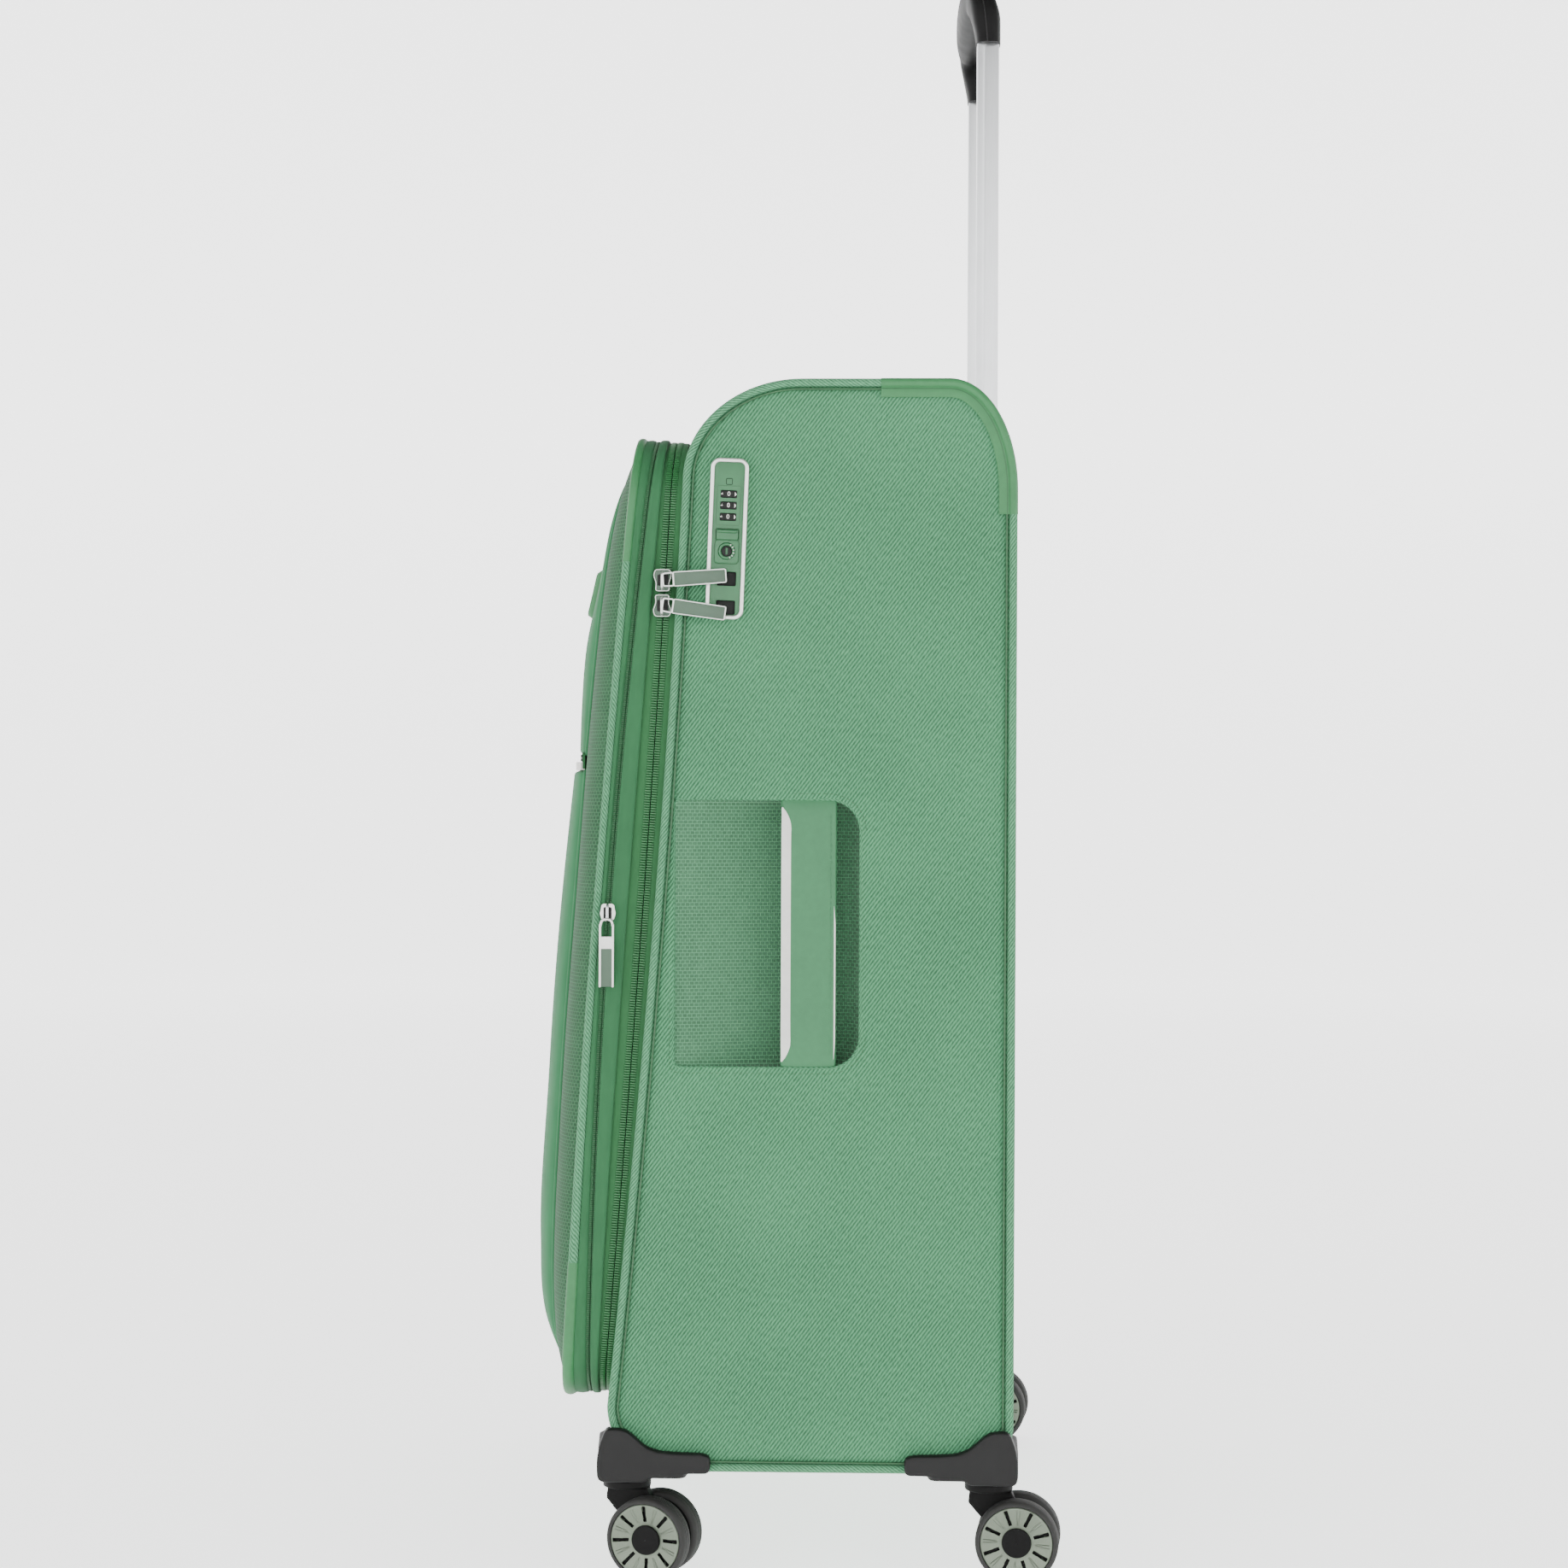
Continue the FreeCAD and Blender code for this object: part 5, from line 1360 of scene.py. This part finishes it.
def make_lock():
    outline = rounded(12.3 - 1.35, 51.5 - 1.35, 4.8, 7)
    bezel = coloured(rim_of("bezel", outline, 232.9, 1.38, 3.1), "pale_metal")
    lock_seat("lock_bezel_piece", [bezel], "root", ["lock_bezel"])
    face = plate("face", rounded(9.9, 49.1, 3.6, 6), 229.0, FACE_X, bevel=0.3)
    cutters = [prism(f"window_{k}", rounded(5.3, 2.5, 0.7) + (0, h), 229.9, 240.0)
               for k, h in enumerate(DIAL_HEIGHTS)]
    cutters.append(prism("key_hole", rounded(5.6, 5.6, 5.55, 9) + (0, -8.0), 229.9, 240.0))
    cutters.append(prism("button_hole", rounded(7.3, 3.5, 1.0) + (0, 2.6), 220.0, 240.0))
    cutters += [prism(f"slot_{k}", rounded(6.2, 4.6, 1.0) + (0.6, h), 231.5, 240.0)
                for k, h in enumerate((-25.6, -43.9))]
    face = coloured(carve(face, *cutters), "lock_plate")
    panel = coloured(rim_of("panel", rounded(7.6, 12.6, 1.0) + (0, 21.2), FACE_X, 0.16, 0.12), "rib")
    # The dark outlines are painted shade at the foot of the key plate and in the gap round the button.
    key_plate_gap_shade = coloured(rim_of("key_plate_gap_shade", rounded(7.9, 7.7, 2.4) + (0, -8.4), FACE_X, 0.28, 0.2), "rib")
    button_gap_shade = coloured(rim_of("button_gap_shade", rounded(7.7, 3.9, 1.2) + (0, 2.6), FACE_X, 0.28, 0.2), "rib")
    key_plate = plate("key_plate", rounded(7.6, 7.4, 2.2) + (0, -8.4), FACE_X - 0.2, FACE_X + 0.7, bevel=0.3)
    key_plate = coloured(carve(key_plate,
                               prism("key_hole", rounded(5.6, 5.6, 5.55, 9) + (0, -8.0), 229.9, 240.0)),
                         "lock_plate")
    square = coloured(rim_of("square", rounded(1.9, 1.9, 0.5) + (0, 36.5), FACE_X, 0.2, 0.15), "housing")
    pieces = [face, panel, key_plate_gap_shade, button_gap_shade, key_plate, square]
    for height in DIAL_HEIGHTS:
        pieces.append(mark(rounded(1.1, 2.3, 0.5) + (-4.3, height), 231.0, 0.4, "ink_and_shade"))
        for s in (-1, 1):
            pieces.append(mark(rounded(0.95, 2.3, 0.3) + (s * 4.35, height), FACE_X - 0.75, 0.4, "ink_and_shade"))
        pieces.append(mark(rounded(0.7, 0.28, 0.2) + (-4.4, height), FACE_X - 0.3))
        arrow = softened([(3.75, height - 1.5), (5.0, height), (3.75, height + 1.5)], 0.4)
        pieces.append(mark(arrow, FACE_X - 0.3))
    for turn in np.radians((-62, -38, -14, 10, 34, 58)):
        spot = (4.6 * math.cos(turn), -8.0 + 4.6 * math.sin(turn))
        turned = np.array([(math.cos(turn), math.sin(turn)), (-math.sin(turn), math.cos(turn))])
        tick = rounded(0.62, 0.2, 0.15) @ turned
        pieces.append(mark(tick + spot, FACE_X + 0.72, 0.12))
    for height in (-25.6, -43.9):
        pieces.append(mark(rounded(6.0, 4.4, 0.8) + (0.6, height), 231.8, 0.4, "ink_and_shade"))
    shell = plate("lock_shell", rounded(9.6, 48.6, 3.0), 216.0, 229.4, bevel=0.4)
    wells = [prism("well", rounded(6.4, 11.6, 1.0) + (0, 21.2), 217.5, 240.0),
             prism("well", rounded(6.2, 6.2, 3.0) + (0, -8.0), 217.5, 240.0),
             prism("well", rounded(7.3, 3.5, 1.0) + (0, 2.6), 217.5, 240.0)]
    pieces.append(coloured(carve(shell, *wells), "black"))
    lock_seat("lock_face_piece", pieces, "root", ["lock_case"])
    button = coloured(plate("button", rounded(7.0, 3.2, 0.9), 233.2, 235.2, bevel=0.4), "lock_plate")
    ridge = coloured(plate("ridge", rounded(6.2, 0.85, 0.7) + (0, 2.0), 234.6, 236.8, bevel=0.6),
                     "lock_plate")
    for item in (button, ridge):
        seat(item, (0, 0, 2.6))
    lock_seat("lock_button_piece", [button, ridge], "lock_button", ["lock_button"])
    plug = lathe("plug", [(226.0, 0.05), (226.0, 5.4), (234.6, 5.4), (235.0, 5.0), (235.0, 3.9), (234.2, 3.5),
                          (234.2, 0.05)], 40)
    core = lathe("core", [(226.0, 0.04), (226.0, 3.45), (234.5, 3.45), (234.9, 3.0), (234.9, 0.04)], 32)
    core = carve(core, prism("key_slot", rounded(0.7, 2.2, 0.4), 232.0, 240.0))
    for item, look in ((plug, "lock_plate"), (core, "ink_and_shade")):
        seat(coloured(item, look), (0, 0, -8.0))
    lock_seat("lock_cylinder_piece", [plug, core], "lock_cylinder", ["lock_cylinder"])
    for count, height in enumerate(DIAL_HEIGHTS, start=1):
        angle = np.linspace(0, math.tau, 80, endpoint=False)
        radius = DIAL_RADIUS - 0.25 + 0.2 * np.cos(10 * angle)
        outline = np.column_stack([radius * np.cos(angle), radius * np.sin(angle)])
        wheel = coloured(plate("wheel", outline, -2.2, 2.2, axis=2, bevel=0.35), "ink_and_shade")
        digits = []
        for value in range(10):
            text = bpy.data.curves.new("digit", "FONT")
            text.body, text.size = str(value), 4.0 * MM
            text.align_x = text.align_y = "CENTER"
            text.extrude = 0.12 * MM
            holder = bpy.data.objects.new("digit", text)
            bpy.context.scene.collection.objects.link(holder)
            graph = bpy.context.evaluated_depsgraph_get()
            graph.update()
            mesh = bpy.data.meshes.new_from_object(holder.evaluated_get(graph))
            bpy.data.objects.remove(holder)
            bpy.data.curves.remove(text)
            upright = Matrix.Rotation(math.pi / 2, 4, "Z") @ Matrix.Rotation(math.pi / 2, 4, "X")
            mesh.transform(Matrix.Translation((DIAL_RADIUS * MM, 0, 0)) @ upright)
            mesh.transform(Matrix.Rotation(math.radians(36 * value), 4, "Z"))
            digit = bpy.data.objects.new("digit", mesh)
            bpy.context.scene.collection.objects.link(digit)
            digits.append(coloured(digit, "white"))
        item = seat(join("dial", [wheel, *digits]), (DIAL_X, 0, height))
        lock_seat(f"lock_dial_{count}_piece", [item], f"lock_dial_{count}", [f"lock_dial_{count}"])


# ---------------------------------------------------------------- trolley
TUBE_X, TUBE_Y = 92.5, 125.2


def heel_z(y):
    """Height of the body's surface near its top rear corner."""
    over = np.clip((np.asarray(y, float) - BACK + HEEL[0]) / HEEL[0], 0, 1)
    return TOP - HEEL[1] + HEEL[1] * np.sqrt(1 - over**2)


def make_dock():
    outline = rounded(111.4, 16.5, 5.0, 6)
    dense = []
    for a, b in zip(outline, np.roll(outline, -1, 0)):
        steps = max(1, int(np.linalg.norm(b - a) / 6))
        dense += [a + (b - a) * k / steps for k in range(steps)]
    outline = np.array(dense) + (0.0, 119.2)
    top = np.column_stack([outline, heel_z(outline[:, 1])])
    slope = np.gradient(heel_z(np.linspace(97, 138.5, 200)), np.linspace(97, 138.5, 200))
    lean = np.interp(outline[:, 1], np.linspace(97, 138.5, 200), slope)
    normal = unit(np.column_stack([np.zeros(len(lean)), -lean, np.ones(len(lean))]))
    rim = sweep("dock_rim", top - 0.2 * normal, normal, rounded(1.1, 1.9, 0.8), closed=True)
    levels = np.linspace(1, 0, 6)[:, None]
    wall = np.repeat(top[None], 6, 0)
    wall[..., 2] = 706.0 + (top[:, 2] - 706.0) * levels
    shrink = (outline - (0.0, 119.2)) * (1 - 0.9 / 111.4, 1 - 0.9 / 16.5) + (0.0, 119.2)
    inner = wall.copy()
    inner[..., :2] = shrink[None]
    sides = skin("dock_wall", wall, inner, flat_weave(np.arange(len(outline) + 1), np.arange(7)),
                 loop_columns=True)
    floor = plate("dock_floor", rounded(111.2, 16.3, 5.0, 6) + (0.0, 119.2), 705.5, 711.0, axis=2, bevel=0.5)
    holes = [prism(f"tube_hole_{s}", rounded(10.8, 8.3, 1.5) + (s * TUBE_X, TUBE_Y), 690.0, 730.0, axis=2)
             for s in (-1, 1)]
    floor = carve(floor, *holes)
    item = join("handle_dock_piece", [rim, sides, floor])
    finish_piece(item, LOOKS["black"], "root", ["handle_dock"])


def make_tubes():
    for side, name in ((-1, "left"), (1, "right")):
        corners = [(side * 10, -2.5), (side * 6, 7.5), (-side * 7, 7.5), (-side * 10, 2.5), (-side * 6, -7.5),
                   (side * 7, -7.5)]
        section = softened(corners if side > 0 else corners[::-1], 1.3, 4) + (side * TUBE_X, TUBE_Y)
        tube = plate(f"handle_tube_{name}", section, 430.0, 1016.5, axis=2, bevel=0.3)
        pin = lathe("pin", [(-1.0, 0.05), (-1.0, 2.2), (0.05, 2.2), (0.12, 1.9), (0.12, 0.05)], 24)
        seat(pin, (0, 0, 0), -90, "Z")
        seat(pin, (side * TUBE_X, TUBE_Y - 7.5, 728.0))
        coloured(tube, "tube")
        item = join(f"handle_tube_{name}", [tube, coloured(pin, "steel")])
        finish_piece(item, None, "trolley", ["inner_tubes"])
    for side, name in ((-1, "left"), (1, "right")):
        collar = plate(f"tube_collar_{name}", rounded(12.6, 9.2, 2.5) + (side * TUBE_X, TUBE_Y - 0.2), 710.6,
                       713.0, axis=2)
        hole = prism("collar_hole", rounded(10.7, 8.2, 1.5) + (side * TUBE_X, TUBE_Y), 700.0, 730.0, axis=2)
        finish_piece(carve(collar, hole), LOOKS["black"], "root")


def grip_line():
    """The grip's centre line, up one leg, across, and down the other, as (x, z) with outward normals."""
    leg_x, bar_z, bend, foot = 92.5, 1053.0, 24.0, 1015.0
    parts = [straight((-leg_x, foot), (-leg_x, bar_z - bend), (-1, 0), 16)]
    turn, normal = quarter((-leg_x + bend, bar_z - bend), (bend, bend), 90, 14)
    parts.append((turn[::-1], normal[::-1]))
    parts.append(straight((-leg_x + bend, bar_z), (leg_x - bend, bar_z), (0, 1), 44))
    turn, normal = quarter((leg_x - bend, bar_z - bend), (bend, bend), 0, 14)
    parts.append((turn[::-1], normal[::-1]))
    parts.append(straight((leg_x, bar_z - bend), (leg_x, foot), (1, 0), 16))
    points, normals = np.concatenate([p for p, n in parts]), np.concatenate([n for p, n in parts])
    points = np.concatenate([[(-leg_x, foot)], points, [(leg_x, foot)]])
    return points, np.concatenate([[(-1, 0)], normals, [(1, 0)]])


def make_grip():
    line, normal = grip_line()
    bar = smooth(1012, 1046, line[:, 1])
    middle = 1 - np.clip(np.abs(line[:, 0]) / 92.5, 0, 1) ** 2.5
    front = 117.2 - 5.0 * bar - 5.6 * bar * middle
    rear = 133.6 - 6.0 * smooth(1030, 1053, line[:, 1]) - 1.5 * middle
    thick = 13.4 + 1.4 * bar
    angle = np.linspace(0, math.tau, 36, endpoint=False)
    cos, sin = np.cos(angle), np.sin(angle)
    power = 0.62
    a = np.sign(cos) * np.abs(cos) ** power
    b = np.sign(sin) * np.abs(sin) ** power
    grid = np.zeros((len(line), len(angle), 3))
    for row in range(len(line)):
        half = (rear[row] - front[row]) / 2
        out = thick[row] * a * (1 - 0.1 * bar[row] * (b < 0) * np.abs(b))
        grid[row, :, 0] = line[row, 0] + out * normal[row, 0]
        grid[row, :, 2] = line[row, 1] + out * normal[row, 1]
        grid[row, :, 1] = (front[row] + rear[row]) / 2 + half * b
    item = loft("grip_body", grid)
    slot_cut = prism("button_slot", rounded(22.3, 5.3, 1.5) + (0, 118.0), 1058.0, 1090.0, axis=2)
    item = coloured(carve(item, slot_cut), "black")
    seam = np.column_stack([line[:, 0] + (thick - 0.1) * normal[:, 0], (front + rear) / 2 - 1.0,
                            line[:, 1] + (thick - 0.1) * normal[:, 1]])
    out = np.column_stack([normal[:, 0], np.zeros(len(normal)), normal[:, 1]])
    keep = np.abs(line[:, 0]) > 26
    cords = []
    for half in (slice(0, len(line) // 2), slice(len(line) // 2, None)):
        chosen = keep[half]
        cords.append(coloured(sweep("grip_seam", seam[half][chosen], out[half][chosen], circle(0.45, 6)),
                              "housing"))
    item = join("grip_piece", [item, *cords])
    finish_piece(item, None, "trolley", ["grip"])
    cap = plate("cap", rounded(21.9, 4.9, 1.4) + (0, 118.0), 1062.0, 1069.5, axis=2, bevel=0.9)
    ribs = [plate("rib", rounded(0.5, 3.6, 0.4) + (x, 118.0), 1069.0, 1069.9, axis=2, bevel=0.3)
            for x in np.arange(-9, 10, 3)]
    item = join("grip_button_piece", [cap, *ribs])
    finish_piece(item, LOOKS["housing"], "grip_button", ["grip_button"])


# ---------------------------------------------------------------- casters
SLOTS = 8


def wheel_cap():
    """The dished wheel cap: sunk slots and raised ribs round a plain hub."""
    count = 288
    radii = np.concatenate([[0.3, 4, 7.5, 8.7, 9.2, 9.5, 10.2, 11.0], np.linspace(11.6, 22.4, 22),
                            [22.8, 23.2, 23.4]])
    angle = np.linspace(0, math.tau, count, endpoint=False)
    rr, aa = np.meshgrid(radii, angle)
    dish = 16.4 + 2.6 * smooth(9.5, 22.6, rr) ** 0.8
    dish = np.where(rr < 9.4, 18.3 - 0.25 * (rr / 9.4) ** 2, dish)
    dish = np.where(rr > 22.6, 19.0 - 1.2 * (rr - 22.6), dish)
    step = math.tau / SLOTS
    to_slot = ((aa + step / 2) % step - step / 2) * rr
    to_rib = (aa % step - step / 2) * rr
    ends = smooth(11.5, 12.3, rr) * (1 - smooth(21.3, 22.1, rr))
    sunk = ends * (1 - smooth(0.75, 1.05, np.abs(to_slot)))
    wide = 0.35 + 0.55 * smooth(11, 22, rr)
    rib = ends * np.exp(-((np.abs(to_rib) - wide) / 0.28) ** 2)
    depth = dish - 2.2 * sunk + 0.42 * rib
    outer = np.stack([depth, rr * np.cos(aa), rr * np.sin(aa)], -1)
    inner = outer.copy()
    inner[..., 0] = 13.6
    item = skin("cap", outer, inner, np.stack([aa, rr], -1)[np.r_[0:count, 0]], loop_rows=True, creases=35)
    item.data.materials.append(LOOKS["rim"])
    item.data.materials.append(LOOKS["black"])
    for polygon in item.data.polygons:
        x, y, z = (c / MM for c in polygon.center)
        radius = math.hypot(y, z)
        turn = (math.atan2(z, y) + step / 2) % step - step / 2
        in_slot = abs(turn * radius) < 1.0 and 11.7 < radius < 22.0
        if radius < 9.4 or in_slot or x < 15.5:
            polygon.material_index = 1
    return item


def make_wheel():
    """One wheel about the X axis, its cap towards +X."""
    tyre = lathe("tyre",
                 [(4.7, 22.9), (4.7, 24.4), (5.3, 25.8), (6.9, 26.6), (9.6, 26.7), (9.8, 26.35),
                  (10.3, 26.35), (10.5, 26.7), (13.2, 26.7), (13.4, 26.35), (13.9, 26.35), (14.1, 26.7),
                  (16.6, 26.6), (18.3, 25.8), (19.0, 24.4), (19.0, 23.7), (18.3, 23.3), (16.0, 22.9)], 72)
    barrel = lathe("barrel",
                   [(4.6, 23.1), (4.6, 21.6), (7.0, 21.0), (7.0, 8.0), (4.7, 7.4), (4.7, 3.1), (14.2, 3.1),
                              (14.2, 23.1)], 48)
    item = join("wheel", [coloured(tyre, "tyre"), coloured(barrel, "black"), wheel_cap()])
    return item


def make_casters():
    model = make_wheel()
    for name, (side, swivel_y, turn) in CASTERS.items():
        swivel = Matrix.Translation(Vector((side * SWIVEL_X, swivel_y, 0)) * MM)
        spot = swivel @ Matrix.Rotation(math.radians(turn), 4, "Z")
        trail = Matrix.Translation(Vector((0, TRAIL, WHEEL_RADIUS)) * MM)
        for hand, where in ((-side, "inner"), (side, "outer")):
            wheel = bpy.data.objects.new(f"wheel_{name}_{where}_piece", model.data.copy())
            bpy.context.scene.collection.objects.link(wheel)
            roll = Matrix.Rotation(math.radians(10.0 + 7.0 * swivel_y / 100), 4, "X")
            flip = Matrix.Rotation(0 if hand > 0 else math.pi, 4, "Z")
            wheel.data.transform(spot @ trail @ roll @ flip)
            body = f"wheel_{name}_{where}"
            finish_piece(wheel, None, body, [f"rim_{name}_{where}", f"tyre_{name}_{where}"])
        source = frame["nodes"][f"fork_{name}"]
        fork = bpy.data.objects.new(f"fork_{name}_piece", source.data.copy())
        bpy.context.scene.collection.objects.link(fork)
        fork.data.transform(source.matrix_world)
        melt(fork, 0.7, 4)
        finish_piece(fork, LOOKS["black"], f"fork_{name}", [f"fork_{name}"])
    bpy.data.objects.remove(model)


def skirt_outline(side_y):
    """The corner skirt seen from the side, with y counted from the corner along the case."""
    top = [(5.6, 97.4), (9, 98.8), (19, 97.8), (25.5, 92.5), (31.5, 87.0), (40, 83.9), (52, 83.2),
           (68, 82.8), (72.6, 81.2), (73, 78), (73, 72), (71, 70.2), (37, 69.8), (34, 67), (31.5, 64.3),
           (4, 64.0), (0.9, 66), (0.3, 72), (0.5, 80), (2.0, 88), (4.3, 94)]
    outline = softened(top, 3.0, 4)
    outline[:, 0] *= side_y
    return outline


def make_housings():
    points, normals = side_outline()
    for name, (side, swivel_y, _) in CASTERS.items():
        facing = -1 if swivel_y < 0 else 1
        corner = swivel_y + facing * 18.2
        outline = skirt_outline(-facing) + (corner, 0)
        skirt = prism("skirt", outline, side * 190.0, side * 238.0)
        angle = np.linspace(0, math.tau, 48, endpoint=False)
        rings = []
        for radius, z in ((15.4, 62.5), (18.6, 62.8), (19.0, 64.0), (19.0, 80.0), (18.0, 92.0), (14.0, 96.0)):
            rings.append(np.column_stack([side * SWIVEL_X + radius * np.cos(angle),
                                          swivel_y + radius * np.sin(angle),
                                          np.full(len(angle), z)]))
        cup = loft("cup", rings)
        deck_y = corner - facing * 29.0
        deck = plate("deck", rounded(34.0, 29.0, 6.0) + (side * 203.5, deck_y), 66.8, 71.4, axis=2, bevel=0.8)
        item = melt(join(f"housing_{name}_piece", [skirt, cup, deck]), 1.1, 8)
        view = [(176, 60), (240, 60), (240, 102), (236, 101), (228, 98.5), (216, 92), (205, 86), (192, 82),
                (180, 80)]
        view = softened(view, 5.0, 4) * (side, 1)
        front_view = prism("front_view", view, -180.0, 180.0, axis=1)
        keep = item.modifiers.new("keep", "BOOLEAN")
        keep.operation, keep.solver, keep.object = "INTERSECT", "EXACT", front_view
        settle(item)
        bpy.data.objects.remove(front_view)
        body = prism("body_cutter", points + 1.9 * normals, -231.9, 231.9)
        well = prism("well", rounded(15.8, 15.8, 15.7, 12) + (side * SWIVEL_X, swivel_y), 50.0, 66.9, axis=2)
        carve(item, body, well)
        relax = item.modifiers.new("relax", "SMOOTH")
        relax.factor, relax.iterations = 0.4, 2
        settle(item)
        finish_piece(item, LOOKS["housing"], "root", [f"housing_{name}"])


def open_lining():
    """Let the handle dock and the lock through the lining, and line the side walls."""
    lining = bpy.data.objects["main_lining"]
    carve(lining, prism("dock_room", [(-113.6, 99.5), (113.6, 99.5), (113.6, 145.0), (-113.6, 145.0)],
                        704.6, 800.0, axis=2))
    points, normals = side_outline()
    for side, name in ((1, "right"), (-1, "left")):
        low, high = sorted((side * 224.2, side * 224.9))
        wall = prism(f"side_lining_{name}", points - 5.2 * normals, low, high)
        if side > 0:
            carve(wall, prism("recess_room", rounded(66.0, 93.0, 20.0) + (-18.0, 415.5), 215.0, 235.0),
                  prism("lock_room", rounded(14.0, 54.0, 4.0) + (-44.9, 667.5), 215.0, 235.0))
        finish_piece(wall, LOOKS["lining"], "root")


def make_sleeves():
    """Cloth channels that hold the outer handle tubes against the back."""
    low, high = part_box("outer_tubes")
    half_y = (high.y - low.y) / MM / 2
    mid_y = (high.y + low.y) / MM / 2
    half_x = high.x / MM - TUBE_X
    for side, name in ((-1, "left"), (1, "right")):
        centre = (side * TUBE_X, mid_y)
        sleeve = prism(f"tube_sleeve_{name}", rounded(half_x + 1.2, half_y + 1.2, 2.0) + centre,
                       low.z / MM - 3.0, 704.4, axis=2)
        bore = prism("bore", rounded(half_x + 0.4, half_y + 0.4, 1.2) + centre, low.z / MM - 9.0, 715.0,
                     axis=2)
        finish_piece(carve(sleeve, bore), LOOKS["lining"], "root")


open_lining()
make_sleeves()
make_main_sliders()
make_expansion_slider()
make_lock()
make_dock()
make_tubes()
make_grip()
make_casters()
make_housings()
for node, look in (("outer_tubes", "steel"), *((f"axle_{c}", "steel") for c in CASTERS)):
    coloured(frame["nodes"][node], look)
